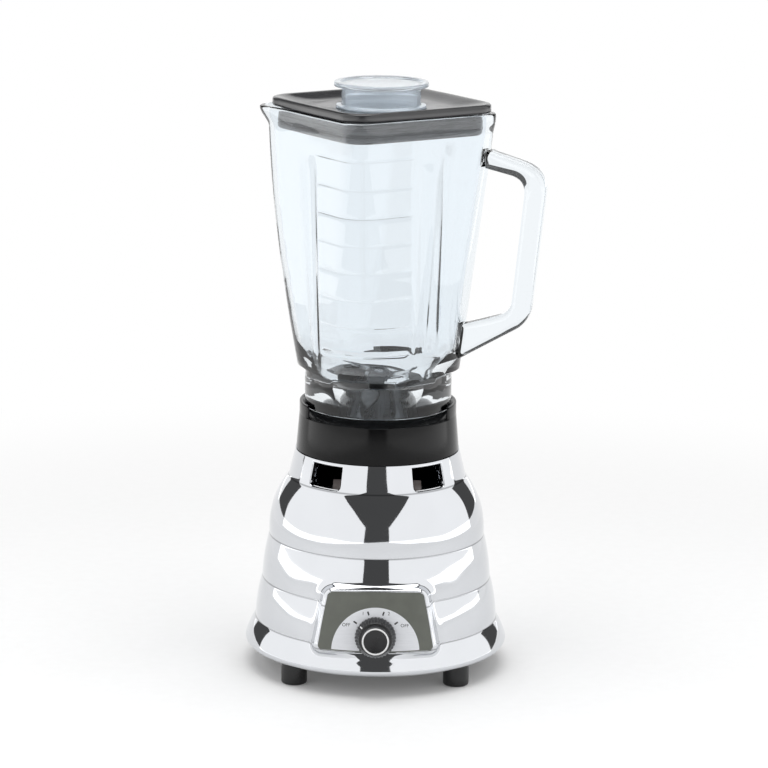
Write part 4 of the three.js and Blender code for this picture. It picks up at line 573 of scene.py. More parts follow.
NOISE_SPAN = (0.3, 0.7)
SCUFF_SPAN = (0.55, 0.85)
SCUFF_ROUGHNESS = 0.05
SHADOW_TINT = 0.97


class Nodes:
    """Short ways to add and join the nodes of one material."""

    def __init__(self, material):
        material.use_nodes = True
        self.tree = material.node_tree
        self.shader = self.tree.nodes["Principled BSDF"]

    def add(self, kind, **values):
        """A new node with some of its properties set."""
        node = self.tree.nodes.new(kind)
        for key, value in values.items():
            setattr(node, key, value)
        return node

    def put(self, value, socket):
        """Links an output to a socket, or sets the socket's own value."""
        if isinstance(value, bpy.types.NodeSocket):
            self.tree.links.new(value, socket)
        else:
            socket.default_value = value

    def result(self, kind, output, inputs, **values):
        """An output of a new node whose inputs, by name or number, are linked or set."""
        node = self.add(kind, **values)
        for key, value in inputs.items():
            self.put(value, node.inputs[key])
        return node.outputs[output]

    def math(self, operation, *values):
        """The result of arithmetic on numbers or outputs."""
        return self.result("ShaderNodeMath", 0, dict(enumerate(values)), operation=operation)

    def smooth(self, value, start, end, low=0.0, high=1.0):
        """A soft step from low to high as the value passes from start to end."""
        inputs = dict(enumerate((value, start, end, low, high)))
        return self.result("ShaderNodeMapRange", 0, inputs, interpolation_type="SMOOTHSTEP")

    def band(self, value, start, end, softness):
        """1 between start and end and 0 outside, with soft edges."""
        rise = self.smooth(value, start - softness, start + softness)
        fall = self.smooth(value, end - softness, end + softness, 1.0, 0.0)
        return self.math("MULTIPLY", rise, fall)

    def place(self):
        """Object coordinates in metres."""
        return self.add("ShaderNodeTexCoord").outputs["Object"]

    def position(self, stretch=(1.0, 1.0, 1.0)):
        """Object coordinates stretched for a brushed or drawn grain."""
        return self.result("ShaderNodeMapping", 0, {"Vector": self.place(), "Scale": stretch})

    def noise(self, vector, scale, detail=3.0, roughness=0.5):
        """Soft uneven patches, from 0 to 1."""
        inputs = {"Vector": vector, "Scale": scale, "Detail": detail, "Roughness": roughness}
        return self.result("ShaderNodeTexNoise", "Fac", inputs)

    def blend(self, factor, first, second):
        """A colour between two others."""
        first, second = [(*value, 1.0) if isinstance(value, tuple) else value for value in (first, second)]
        return self.result("ShaderNodeMix", 2, {"Factor": factor, 6: first, 7: second}, data_type="RGBA")

    def bump(self, height, strength, distance):
        """A surface direction that follows a height."""
        inputs = {"Height": height, "Strength": strength, "Distance": distance}
        return self.result("ShaderNodeBump", 0, inputs)

    def choose(self, factor, first, second):
        """Ends the material in the first shader, or by the factor in the second."""
        shaders = {0: factor, 1: first.outputs[0], 2: second.outputs[0]}
        mixed = self.result("ShaderNodeMixShader", 0, shaders)
        self.put(mixed, self.tree.nodes["Material Output"].inputs["Surface"])


def shade(value, factor):
    """A colour made darker or lighter."""
    return tuple(min(1.0, part * factor) for part in value)


def finish(name, base, polish, patch=120.0, grain=1500.0, depth=0.00002, uneven=0.25, tone=0.12,
           stretch=(1.0, 1.0, 1.0), metallic=0.0, **sockets):
    """A surface with soft patches of tone, an uneven polish and a fine grain."""
    material = bpy.data.materials.new(name)
    nodes = Nodes(material)
    inputs = nodes.shader.inputs
    where = nodes.position(stretch)
    patches = nodes.noise(where, patch)
    fine = nodes.noise(where, grain, 4.0, 0.6)
    toned = nodes.blend(nodes.smooth(patches, *NOISE_SPAN), shade(base, 1 - tone), shade(base, 1 + tone))
    nodes.put(toned, inputs["Base Color"])
    mixed = nodes.math("ADD", nodes.math("MULTIPLY", patches, 0.5), nodes.math("MULTIPLY", fine, 0.5))
    rough = nodes.smooth(mixed, *NOISE_SPAN, polish * (1 - uneven), min(1.0, polish * (1 + uneven)))
    nodes.put(rough, inputs["Roughness"])
    nodes.put(nodes.bump(fine, 0.5, depth), inputs["Normal"])
    inputs["Metallic"].default_value = metallic
    for key, value in sockets.items():
        inputs[key.replace("_", " ")].default_value = value
    return material


def make_wavy(material, scale, depth, stretch):
    """Adds the slow waviness of pressed sheet metal under a finish's fine grain."""
    nodes = Nodes(material)
    fine = nodes.shader.inputs["Normal"].links[0].from_node
    waves = nodes.noise(nodes.position(stretch), scale, 1.0)
    nodes.put(nodes.bump(waves, 1.0, depth), fine.inputs["Normal"])


def clear_finish(name, tint, ior, grain, depth, stretch=(1.0, 1.0, 1.0), clearness=1.0):
    """Clear glass or plastic with a slight unevenness, which lets light through to what it shades."""
    material = bpy.data.materials.new(name)
    nodes = Nodes(material)
    inputs = nodes.shader.inputs
    inputs["Base Color"].default_value = (*tint, 1.0)
    inputs["Transmission Weight"].default_value = clearness
    inputs["IOR"].default_value = ior
    wave = nodes.noise(nodes.position(stretch), grain, 2.0)
    scuffs = nodes.noise(nodes.position((1.0, 1.0, 0.3)), 900.0, 5.0, 0.7)
    nodes.put(nodes.smooth(scuffs, *SCUFF_SPAN, 0.0, SCUFF_ROUGHNESS), inputs["Roughness"])
    nodes.put(nodes.bump(wave, 1.0, depth), inputs["Normal"])
    see_through = nodes.add("ShaderNodeBsdfTransparent")
    see_through.inputs["Color"].default_value = (*shade(tint, SHADOW_TINT), 1.0)
    in_shadow = nodes.add("ShaderNodeLightPath").outputs["Is Shadow Ray"]
    nodes.choose(in_shadow, nodes.shader, see_through)
    return material


# ---------------- housing

def arc(start, end, bulge, steps):
    """Points of a shallow arc between two (radius, height) points, swelling outwards."""
    (start_radius, start_z), (end_radius, end_z) = start, end
    t = np.linspace(0, 1, steps + 1)
    size = math.hypot(end_radius - start_radius, end_z - start_z)
    rise = 4 * bulge * t * (1 - t) / size
    radius = start_radius + (end_radius - start_radius) * t + (end_z - start_z) * rise
    height = start_z + (end_z - start_z) * t + (start_radius - end_radius) * rise
    return radius, height


def housing_wall(crease):
    """A function that gives the housing's radius at a height, with softened creases."""
    radii, heights = [], []
    for (*start, bulge), (*end, _) in zip(RINGS, RINGS[1:]):
        arc_radius, arc_height = arc(start, end, bulge, ARC_STEPS)
        radii.extend(arc_radius[:-1])
        heights.extend(arc_height[:-1])
    radii.extend(NECK_RADII)
    heights.extend((NECK_Z, HOUSING_TOP))
    offsets = np.linspace(-CREASE_REACH, CREASE_REACH, CREASE_SAMPLES)
    weights = np.exp(-offsets ** 2)
    weights /= weights.sum()

    def radius_at(z):
        z = np.asarray(z, float)
        room = np.minimum(crease, np.minimum(z - HOUSING_BOTTOM, HOUSING_TOP - z) / CREASE_REACH)
        near = z[..., None] + offsets * room[..., None]
        return (np.interp(near, heights, radii) * weights).sum(-1)

    return radius_at


def bowed_edge(x):
    """Height of the dial plate's bowed bottom edge."""
    return PLATE_BOTTOM - PLATE_BOW * (1 - (x / PLATE_BOTTOM_HALF) ** 2)


def plate_distance(x, y):
    """Distance outside the dial plate's outline in its own plane, negative inside."""
    x = np.abs(x)
    slant = (PLATE_BOTTOM_HALF - PLATE_TOP_HALF) / (PLATE_TOP - PLATE_BOTTOM)
    half_width = PLATE_TOP_HALF + (PLATE_TOP - y) * slant
    side = (x - half_width) / math.hypot(1, slant)
    level = np.maximum(y - PLATE_TOP, bowed_edge(x) - y)
    across, along = side + PLATE_CORNER, level + PLATE_CORNER
    outside = np.hypot(np.maximum(across, 0), np.maximum(along, 0))
    return outside + np.minimum(np.maximum(across, along), 0) - PLATE_CORNER


def edge_between(low, high, is_outside, halvings):
    """Closes in on where a shape ends, by halving, and gives the last two bounds."""
    for _ in range(halvings):
        middle = (low + high) / 2
        outside = is_outside(middle)
        low, high = np.where(outside, low, middle), np.where(outside, middle, high)
    return low, high


def soft_min(first, second, size):
    """The lesser of two distances, blended where they are within size of each other."""
    near = np.maximum(size - np.abs(first - second), 0) / size
    return np.minimum(first, second) - near * near * size / 4


def panel_frame():
    """The panel's matrix: +X to the right, +Y up the panel, +Z out of it, origin on the knob axis."""
    normal = Vector(PANEL_NORMAL)
    right = Vector((1, 0, 0))
    matrix = Matrix((right, normal.cross(right), normal)).transposed().to_4x4()
    matrix.translation = Vector((KNOB_ORIGIN[0] - AXIS[0], KNOB_ORIGIN[1] - AXIS[1], KNOB_ORIGIN[2]))
    return matrix


def outer_radius(angles, heights, radius_at):
    """Radius of the housing with its panel boss, along level rays from the drive axis."""
    inverse = np.array(panel_frame().inverted())
    wall = radius_at(heights)
    in_front = np.cos(angles) > BOSS_REACH

    def is_outside(radius):
        points = [radius * np.sin(angles), -radius * np.cos(angles), heights, np.ones_like(radius)]
        x, y, z, _ = np.moveaxis(np.stack(points, -1) @ inverse.T, -1, 0)
        side = (plate_distance(x, y) - BORDER + z * BOSS_FLARE) / math.hypot(1, BOSS_FLARE)
        boss = np.where(in_front, -soft_min(-z, -side, BOSS_EDGE), radius)
        return soft_min(radius - wall, boss, BOSS_BLEND) > 0

    low, high = edge_between(wall - BOSS_SEARCH[0], wall + BOSS_SEARCH[1], is_outside, 34)
    return (low + high) / 2


def housing_angles():
    """Angles from the front, close together beside the panel."""
    panel = np.arange(-PANEL_HALF_ANGLE, PANEL_HALF_ANGLE, 0.25)
    return np.radians(np.concatenate([panel, np.arange(PANEL_HALF_ANGLE, 360 - PANEL_HALF_ANGLE, 1.0)]))


def housing_heights():
    """Heights of the rows from the bottom edge to the neck, close together at the panel and creases."""
    creases = [z for _, z, _ in RINGS[1:]]
    rows, z = [HOUSING_BOTTOM], HOUSING_BOTTOM
    while z < NECK_Z - COARSE_ROW / 2:
        near_crease = min(abs(z - crease) for crease in creases) < CREASE_ZONE
        on_panel = PANEL_ROWS[0] < z < PANEL_ROWS[1]
        z += FINE_ROW if on_panel or near_crease else COARSE_ROW
        rows.append(z)
    rows[-1] = NECK_Z
    return np.array(rows)


def window_outline(across, up, offset):
    """Maps points on the edge of a unit square to a window's edge, moved out by the offset."""
    half_width = WINDOW_HALF_ANGLE * math.pi / 180 * NECK_RADII[0] + offset
    half_height = (WINDOW_HEAD - WINDOW_SILL) / 2 + offset
    corner = WINDOW_CORNER + offset
    x, y = across * half_width, up * half_height
    centre = np.array([math.copysign(half_width - corner, x), -half_height + corner])
    beyond = np.array([abs(x) - half_width + corner, centre[1] - y])
    if min(beyond) > 0:
        way = np.array([x, y]) - centre
        x, y = centre + way / np.linalg.norm(way) * corner
    return x / NECK_RADII[0], (WINDOW_HEAD + WINDOW_SILL) / 2 + y


def housing_part(settings):
    """The plated shell: stepped rings, the panel boss, and the neck with its windows."""
    radius_at = housing_wall(settings.crease / MM)
    angles, rows = housing_angles(), housing_heights()
    neck_rows = np.linspace(NECK_Z, HOUSING_TOP, NECK_ROWS + 1)[1:]
    columns = len(angles)

    def ring(radius, z):
        radius, z = np.broadcast_to(radius, columns), np.broadcast_to(z, columns)
        return list(zip(radius * np.sin(angles), -radius * np.cos(angles), z))

    wall = outer_radius(*np.meshgrid(angles, rows), radius_at)
    lower = [ring(radius, z) for radius, z in zip(wall, rows)]
    neck = [ring(radius_at(z), z) for z in neck_rows]
    inner_rows = rows[rows > HOUSING_BOTTOM + 2][::3]
    inner = [ring(wall[np.searchsorted(rows, z)] - SHEET, z) for z in inner_rows]
    inner_neck = [ring(radius_at(z) - SHEET, z - (SHEET if z == neck_rows[-1] else 0)) for z in neck_rows]
    bottom_lip = [ring(radius, HOUSING_BOTTOM + rise) for radius, rise in BOTTOM_LIP]
    bottom_lip.append(ring(wall[0] - 0.5, HOUSING_BOTTOM))
    top = [ring(NECK_RADII[1] - 0.4, HOUSING_TOP), ring(TOP_HOLE_RADIUS, HOUSING_TOP),
           ring(TOP_HOLE_RADIUS, HOUSING_TOP - SHEET)]
    vertices, faces = skin(bottom_lip + lower + neck + top + inner_neck[::-1] + inner[::-1], closed=True)

    outer = len(bottom_lip) + len(lower) - 1
    inside = outer + NECK_ROWS + len(top) + 1
    holes, patches = set(), []
    for middle in WINDOW_MIDDLES:
        away = (np.degrees(angles) - middle + 180) % 360 - 180
        near = np.flatnonzero(np.abs(away) < WINDOW_PATCH_ANGLE + 1e-6)
        near = near[np.argsort(away[near])].tolist()
        for first in (outer, inside):
            holes.update((first + row) * columns + column for row in range(NECK_ROWS) for column in near[:-1])
        outer_loop = grid_border(vertices, columns, near, range(outer, outer + NECK_ROWS + 1))
        inner_loop = grid_border(vertices, columns, near, range(inside + NECK_ROWS, inside - 1, -1))
        patches.append(window_patch(outer_loop, inner_loop, middle, radius_at, settings.window_lip / MM))
    kept = [face for i, face in enumerate(faces) if i not in holes]
    return merged((vertices, kept), *patches)


def grid_border(vertices, columns, near, rows):
    """The points round some neighbouring columns and rows of a grid, once round."""
    loop = [(rows[0], column) for column in near]
    loop += [(row, near[-1]) for row in rows[1:]]
    loop += [(rows[-1], column) for column in near[::-1][1:]]
    loop += [(row, near[0]) for row in rows[::-1][1:-1]]
    return [vertices[row * columns + column] for row, column in loop]


def window_patch(outer_loop, inner_loop, middle, radius_at, lip):
    """The neck round one window: its outer face, the turned-in lip and the inner face."""
    turn = math.radians(middle)
    half_angle = math.radians(WINDOW_PATCH_ANGLE)
    mid_z, half_z = (NECK_Z + HOUSING_TOP) / 2, (HOUSING_TOP - NECK_Z) / 2
    places = []
    for x, y, z in outer_loop:
        angle = (math.atan2(x, -y) - turn + math.pi) % (2 * math.pi) - math.pi
        places.append((angle, z, angle / half_angle, (z - mid_z) / half_z))

    def loop_at(offset, depth, spread=0.0):
        points = []
        for angle, z, across, up in places:
            edge_angle, edge_z = window_outline(across, up, offset)
            angle = edge_angle + (angle - edge_angle) * spread + turn
            z = edge_z + (z - edge_z) * spread
            radius = float(radius_at(z)) - depth
            points.append((radius * math.sin(angle), -radius * math.cos(angle), z))
        return points

    loops = [outer_loop] + [loop_at(WINDOW_ROLL, 0.0, spread) for spread in (0.6, 0.3, 0.1, 0.0)]
    loops += [loop_at(*quarter_round(WINDOW_ROLL, t * math.pi / 2)) for t in np.linspace(0.2, 1.0, 5)]
    back = SHEET * 0.6
    lip_rows = ((0.0, lip), (0.3, lip + 0.4), (back, lip), (back, WINDOW_ROLL + SHEET), (WINDOW_ROLL, SHEET))
    loops += [loop_at(offset, depth) for offset, depth in lip_rows]
    return skin(loops + [inner_loop])


def bead_part(height):
    """The bead pressed round the dial plate: a rounded rib that follows the plate's outline."""
    section = [(margin, (height + BEAD_FOOT) * portion) for margin, portion in BEAD_SHAPE]
    section = [(-0.1, -BEAD_FOOT), *section, (2.2, -BEAD_FOOT)]
    rings = [[(x, y, z - BEAD_FOOT) for x, y in plate_outline(margin)] for margin, z in section]
    return skin(rings, closed=True)


def crease_tarnish_and_shade(material, chrome):
    """Darkens the plating in a thin line along each crease: tarnish where polish never reaches, and painted
    shade of the crease.
    """
    nodes = Nodes(material)
    base = nodes.shader.inputs["Base Color"]
    toned = base.links[0].from_socket
    height = nodes.result("ShaderNodeSeparateXYZ", 2, {0: nodes.position()})
    half, softness = TARNISH_AND_SHADE_HALF_HEIGHT * MM, TARNISH_AND_SHADE_SOFTNESS * MM
    first, *others = [nodes.band(height, z * MM - half, z * MM + half, softness) for _, z, _ in RINGS[2:]]
    tarnish_and_shade = first
    for line in others:
        tarnish_and_shade = nodes.math("MAXIMUM", tarnish_and_shade, line)
    amount = nodes.math("MULTIPLY", tarnish_and_shade, TARNISH_AND_SHADE_AMOUNT)
    # Blends the chrome towards a far darker tone on these lines: painted crease shade as well as tarnish
    nodes.put(nodes.blend(amount, toned, shade(chrome, TARNISH_AND_SHADE_TONE)), base)


class BLENDER_LOOKS_OT_housing(bpy.types.Operator):
    """Build the polished housing with its rings, panel boss and neck windows"""

    bl_idname = "blender_looks.housing"
    bl_label = "Housing"

    def execute(self, context):
        settings = settings_of(context).housing
        chrome = finish("polished_chrome", settings.chrome, settings.polish, patch=30.0, grain=2500.0,
                        depth=0.0000015, tone=0.015, uneven=0.5, metallic=1.0)
        make_wavy(chrome, 26.0, settings.waviness, (1.0, 1.0, 1.5))
        # Painted shade and tarnish: a thin dark line along each crease of the chrome
        crease_tarnish_and_shade(chrome, settings.chrome)
        piece("housing_shell", housing_part(settings), "base", chrome, ["base_housing"],
              sharp=50.0)
        bead = moved(bead_part(settings.bead / MM), panel_frame())
        piece("panel_bead", bead, "base", chrome, sharp=60.0)
        return {"FINISHED"}


# ---------------- dial plate

def plate_outline(margin):
    """Points of the dial plate's outline, moved out by the margin."""
    middle = (PLATE_TOP + PLATE_BOTTOM) / 2
    angles = np.linspace(0, 2 * math.pi, PLATE_POINTS, endpoint=False)
    across, up = np.cos(angles), np.sin(angles)

    def is_outside(reach):
        return plate_distance(reach * across, middle + reach * up) >= margin

    reach, _ = edge_between(np.zeros(PLATE_POINTS), np.full(PLATE_POINTS, PLATE_SEARCH), is_outside, 40)
    return list(zip(reach * across, middle + reach * up))


def half_disc_outline(radius):
    """A disc's outline, cut off just above the plate's bowed bottom edge."""
    points = []
    for i in range(DISC_STEPS + 1):
        angle = math.pi * (DISC_START - DISC_SWEEP * i / DISC_STEPS)
        x, y = radius * math.cos(angle), DISC_CENTRE + radius * math.sin(angle)
        points.append((x, max(y, bowed_edge(x) + DISC_MARGIN)))
    left, right = points[0][0], points[-1][0]
    edge = [right + (left - right) * i / 24 for i in range(1, 24)]
    return points + [(x, bowed_edge(x) + DISC_MARGIN) for x in edge]


def text_part(words, place):
    """Flat lettering as a mesh, centred on a point of the panel."""
    curve = bpy.data.curves.new("lettering", "FONT")
    curve.body = words
    curve.size = FIGURE_SIZE
    curve.extrude = 0.02
    curve.align_x = "CENTER"
    curve.align_y = "CENTER"
    obj = bpy.data.objects.new("lettering", curve)
    bpy.context.collection.objects.link(obj)
    part = evaluated_part(obj)
    bpy.data.objects.remove(obj)
    bpy.data.curves.remove(curve)
    return moved(part, Matrix.Translation(place))


def bar_part(place, turn, size):
    """A short printed bar whose length points along the turn."""
    corners = [(across * size[0] / 2, up * size[1] / 2, 0.15) for across, up in CORNER_SIGNS]
    bar = extruded(rounded(corners, 2, closed=True), 0.0, 0.04)
    return moved(bar, Matrix.Translation(place) @ Matrix.Rotation(turn, 4, "Z"))


class BLENDER_LOOKS_OT_dial(bpy.types.Operator):
    """Build the painted dial plate with its silver half disc, marks and figures"""

    bl_idname = "blender_looks.dial"
    bl_label = "Dial Plate"

    def execute(self, context):
        settings = settings_of(context).dial
        panel = panel_frame()
        paint = finish("dial_paint", settings.plate, 0.42, grain=2200.0, depth=0.000008, tone=0.05)
        silver = finish("silver_print", settings.half_disc, 0.38, grain=2600.0, depth=0.000004,
                        stretch=(1.0, 1.0, 8.0), tone=0.02)
        ink = finish("black_print", settings.mark, 0.5, tone=0.1)
        plate = extruded(plate_outline(0.2), 0.1, 0.7, 0.12)
        piece("dial_face", moved(plate, panel), "base", paint, ["dial_plate"])

        radius = settings.disc_radius / MM
        disc = extruded(half_disc_outline(radius), *DISC_LEVELS)
        piece("dial_half_disc", moved(disc, panel), "base", silver)

        marks = []
        for angle, words, x, y in DIAL_MARKS:
            way = math.radians(angle)
            place = (MARK_REACH * math.cos(way), MARK_REACH * math.sin(way), PRINT_LEVEL)
            marks += [bar_part(place, way, MARK_SIZE), text_part(words, (x, y, PRINT_LEVEL))]
        piece("dial_figures", moved(merged(*marks), panel), "base", ink)
        return {"FINISHED"}


# ---------------- knob

def ribbed_rings(rows, ribs):
    """Rings whose radius dips between grip ribs, from rows of radius, height and how deep it dips."""
    count = ribs * RIB_POINTS
    waves = [0.5 + 0.5 * math.cos(2 * math.pi * i / RIB_POINTS) for i in range(count)]
    dips = [1 - wave ** RIB_FULLNESS for wave in waves]
    return [level_ring([radius - depth * dip for dip in dips], z, even_angles(count))
            for radius, z, depth in rows]


def knob_part(ribs):
    """The knob in the panel's own frame: a ribbed skirt, a smooth cap and a hollow underneath."""
    count = ribs * RIB_POINTS
    under = rings_of([*rounded(KNOB_UNDER), KNOB_FOOT], count)
    return skin(under + ribbed_rings(KNOB_SKIRT, ribs) + rings_of(rounded(KNOB_CAP), count))


class BLENDER_LOOKS_OT_knob(bpy.types.Operator):
    """Build the ribbed knob with its white ring and pointer"""

    bl_idname = "blender_looks.knob"
    bl_label = "Knob"

    def execute(self, context):
        settings = settings_of(context).knob
        panel = panel_frame()
        black = finish("knob_plastic", settings.black, 0.32, grain=1800.0, depth=0.00001)
        white = finish("knob_print", settings.ring, 0.45, tone=0.02)
        piece("knob_grip", moved(knob_part(settings.ribs), panel), "knob", black, ["knob"])
        ring = revolve(rounded(KNOB_RING, 2, closed=True), 128, closed=True)
        slope = Matrix.Rotation(POINTER_SLOPE, 4, "Y")
        place = Matrix.Rotation(POINTER_TURN, 4, "Z") @ Matrix.Translation(POINTER_PLACE) @ slope
        pointer = moved(bar_part((0, 0, 0), 0, POINTER_SIZE), place)
        piece("knob_ring", moved(merged(ring, pointer), panel), "knob", white)
        return {"FINISHED"}


# ---------------- collar

def ear_part(angle, edge):
    """An upright ear on the collar, curved with it, with all its edges rounded."""
    inner, root, tip = EAR_RADIUS - EAR_WALL, COLLAR_TOP - EAR_HEIGHT, COLLAR_TOP
    middle = EAR_RADIUS - EAR_WALL / 2
    section = rounded([(inner, root), (EAR_RADIUS, root), (EAR_RADIUS, tip, edge), (inner, tip, edge)],
                      closed=True)
    rings = []
    for i in range(EAR_STEPS + 1):
        t = -1 + 2 * i / EAR_STEPS
        past_start = max(0.0, (abs(t) - EAR_END_START) / EAR_END_LENGTH)
        fullness = math.sqrt(max(0.0, 1 - past_start ** 2))
        turn = angle + EAR_HALF_ANGLE * t
        ring = []
        for radius, z in section:
            radius = middle + (radius - middle) * (0.3 + 0.7 * fullness)
            ring.append((radius * math.cos(turn), radius * math.sin(turn),
                         min(z, tip - EAR_END_DROP * (1 - fullness))))
        rings.append(ring)
    vertices, faces = skin(rings)
    count = len(section)
    ends = [tuple(range(count)), tuple(reversed(range(len(vertices) - count, len(vertices))))]
    return vertices, faces + ends


def collar_part(edge):
    """The collar: a floor, a well wall, an outer wall that slopes out from its top, and two ears."""
    low = COLLAR_BOTTOM
    top, well = low + 24.5, 43.7
    profile = rounded([
        (9.0, low, 0.3), (well + 2.6, low, 0.3), (well + 2.6, top - 2.6, 1.0), (49.7, top - 3.6, 0.8),
        (51.8, low, 0.3), (54.4, low, 0.6), (52.3, top, edge), (50.6, top + 0.35, 0.5),
        (well + 2.2, top + 3.0, 0.9), (well, top + 2.6, 0.9), (well, low + 3.0, 0.5), (9.0, low + 3.0, 0.4),
    ], closed=True)
    return merged(revolve(profile, 160, closed=True), ear_part(0.0, edge), ear_part(math.pi, edge))


class BLENDER_LOOKS_OT_collar(bpy.types.Operator):
    """Build the black collar that holds the jar, with its two ears"""

    bl_idname = "blender_looks.collar"
    bl_label = "Collar"

    def execute(self, context):
        settings = settings_of(context).collar
        black = finish("collar_plastic", settings.black, 0.16, grain=1300.0, depth=0.000008,
                       Specular_IOR_Level=0.2)
        part = collar_part(settings.edge / MM)
        piece("collar_moulding", part, "base", black, ["collar_ring"])
        return {"FINISHED"}


# ---------------- feet

class BLENDER_LOOKS_OT_feet(bpy.types.Operator):
    """Build the four rubber feet"""

    bl_idname = "blender_looks.feet"
    bl_label = "Feet"

    def execute(self, context):
        settings = settings_of(context).foot
        rubber = finish("foot_rubber", settings.rubber, 0.34, grain=1600.0, depth=0.00002)
        pad = revolve(rounded(FOOT_PROFILE, closed=True), 72, closed=True)
        for name in ("front_left", "front_right", "rear_right", "rear_left"):
            node = f"foot_{name}"
            low, high = node_box(node)
            x, y = (low[:2] + high[:2]) / 2 - AXIS
            part = moved(pad, Matrix.Translation((x, y, 0)))
            piece(f"foot_pad_{name}", part, "base", rubber, [node])
        return {"FINISHED"}


# ---------------- jar

def from_corner(angle):
    """Angle from the nearest of the jar's corners, which lie at 0, 90, 180 and 270 degrees."""
    quarter = math.pi / 2
    return abs(angle - round(angle / quarter) * quarter)


def square_radius(angle, half_width, diagonal):
    """Distance from the middle to a square with round corners."""
    corner = (half_width * math.sqrt(2) - diagonal) / (math.sqrt(2) - 1)
    off_side = math.pi / 4 - from_corner(angle)
    x, y = math.cos(off_side), math.sin(off_side)
    flat = half_width / x
    straight = half_width - corner
    if flat * y <= straight:
        return flat
    along = straight * (x + y)
    return along + math.sqrt(max(0.0, along * along - 2 * straight * straight + corner * corner))


def ease(value):
    """A soft step from 0 to 1."""
    t = min(max(value, 0.0), 1.0)
    return t * t * (3 - 2 * t)


def glass_radius(angle, z, wall=0.0, extra=0.0):
    """Radius of the jar's body at an angle from the handle and a height."""
    t = min(max((z - BODY_Z) / BODY_HEIGHT, 0.0), 1.0)
    (foot_width, rim_width), (foot_diagonal, rim_diagonal) = BODY_HALF_WIDTHS, BODY_HALF_DIAGONALS
    half_width = foot_width + (rim_width - foot_width) * t * (1 + BODY_FULLNESS * (1 - t)) - wall
    diagonal = (foot_diagonal + (rim_diagonal - foot_diagonal) * (1 - (1 - t) ** CORNER_FULLNESS)
                - wall * CORNER_WALL)
    lean = LEAN * math.sin(math.pi * t)
    radius = square_radius(angle, half_width, diagonal - lean * math.cos(angle)) + extra
    spout = abs(angle - math.pi) / SPOUT_HALF_ANGLE
    lift = SPOUT_REACH * ease((z - GLASS_TOP + SPOUT_HEIGHT) / SPOUT_HEIGHT) * math.exp(-spout * spout)
    from_side = abs(from_corner(angle) - math.pi / 4)
    across = from_side * radius / (FLUTE_FOOT + (FLUTE_HEAD - FLUTE_FOOT) * t)
    fade = ease((GLASS_TOP - FLUTE_END - z) / FLUTE_TOP_FADE) * ease((z - BODY_Z) / FLUTE_FOOT_FADE)
    return radius + lift - FLUTE_DEPTH * fade * math.exp(-abs(across) ** 3)


def glass_ring(z, wall=0.0, extra=0.0):
    """A level ring round the jar's body, or inside it by a wall."""
    return level_ring([glass_radius(angle, z, wall, extra) for angle in JAR_ANGLES], z)


def smooth_line(points, count):
    """A smooth curve through points, evenly stepped along the points' own spacing."""
    points = np.array(points, float)
    steps = np.concatenate([[0], np.cumsum(np.linalg.norm(np.diff(points, axis=0), axis=1))])
    slopes = np.gradient(points, steps, axis=0)
    result = []
    for s in np.linspace(0, steps[-1], count):
        i = min(np.searchsorted(steps, s, "right") - 1, len(points) - 2)
        h = steps[i + 1] - steps[i]
        t = (s - steps[i]) / h
        first = (2 * t ** 3 - 3 * t ** 2 + 1) * points[i] + (t ** 3 - 2 * t ** 2 + t) * h * slopes[i]
        second = (3 * t ** 2 - 2 * t ** 3) * points[i + 1] + (t ** 3 - t ** 2) * h * slopes[i + 1]
        result.append(tuple(first + second))
    return result


def line_rise(angle, z):
    """How high the measuring lines are, from 0 to 1: they run round the front corner from flute to flute."""
    nearest = min(max(round((z - LINE_START) / LINE_SPACING), 0), LINE_COUNT - 1)
    away = (z - LINE_START - nearest * LINE_SPACING) / LINE_HALF_HEIGHT
    along = ease((LINE_HALF_ANGLE - abs(angle - 1.5 * math.pi)) / LINE_FADE)
    return along * max(0.0, 1 - away * away)


def glass_outside(line_relief):
    """The outer skin of the glass, from its neck up to the rounded rim, with its measuring lines."""
    low = GLASS_BOTTOM
    foot = low + 18.0
    waist = foot + 20.5
    lower = rounded([(37.0, low, 0.6), (37.0, foot, 1.0), (48.9, foot, 1.8), (48.9, waist, 6.0),
                     (48.4, waist + 4.0)])
    rings = [[(0.0, 0.0, low)]] + [level_ring(radius, z) for radius, z in lower]
    line_rows = [LINE_START + i * LINE_SPACING + LINE_HALF_HEIGHT * step
                 for i in range(LINE_COUNT) for step in (-1, -0.5, 0, 0.5, 1)]
    for z in sorted([*np.linspace(BODY_Z, GLASS_TOP - SPOUT_HEIGHT, 40), *line_rows]):
        radii = [glass_radius(a, z, extra=line_relief * line_rise(a, z)) for a in JAR_ANGLES]
        rings.append(level_ring(radii, z))
    for z in np.linspace(GLASS_TOP - SPOUT_HEIGHT, GLASS_TOP - RIM_START, 9)[1:]:
        rings.append(glass_ring(z, extra=0.9 * ease((z - GLASS_TOP + SPOUT_HEIGHT) / 9)))
    rings += [glass_ring(GLASS_TOP + rise, extra=out) for rise, out in RIM_OUTSIDE]
    return skin(rings + [[(0.0, 0.0, GLASS_TOP)]])


def glass_inside():
    """What is cut out of the glass: the open mouth, the straight sides, the bowl and the neck's bore."""
    low = GLASS_BOTTOM
    bowl = smooth_line([(radius, low + rise) for radius, rise in BOWL], 22)
    rings = [[(0.0, 0.0, low - 1)], level_ring(BORE_RADIUS, low - 1)]
    bowl_top = bowl[-1][1]
    for round_radius, z in bowl:
        squareness = ease((z - low - BOWL_ROUND) / (bowl_top - low - BOWL_ROUND))
        radii = [round_radius + (glass_radius(a, z, GLASS_WALL) - round_radius) * squareness
                 for a in JAR_ANGLES]
        rings.append(level_ring(radii, z))
    rings += [glass_ring(z, GLASS_WALL) for z in np.linspace(bowl_top, GLASS_TOP - RIM_START, 36)[1:]]
    rings += [glass_ring(GLASS_TOP + rise, GLASS_WALL, out) for rise, out in RIM_INSIDE]
    return skin(rings + [[(0.0, 0.0, GLASS_TOP + 1)]])


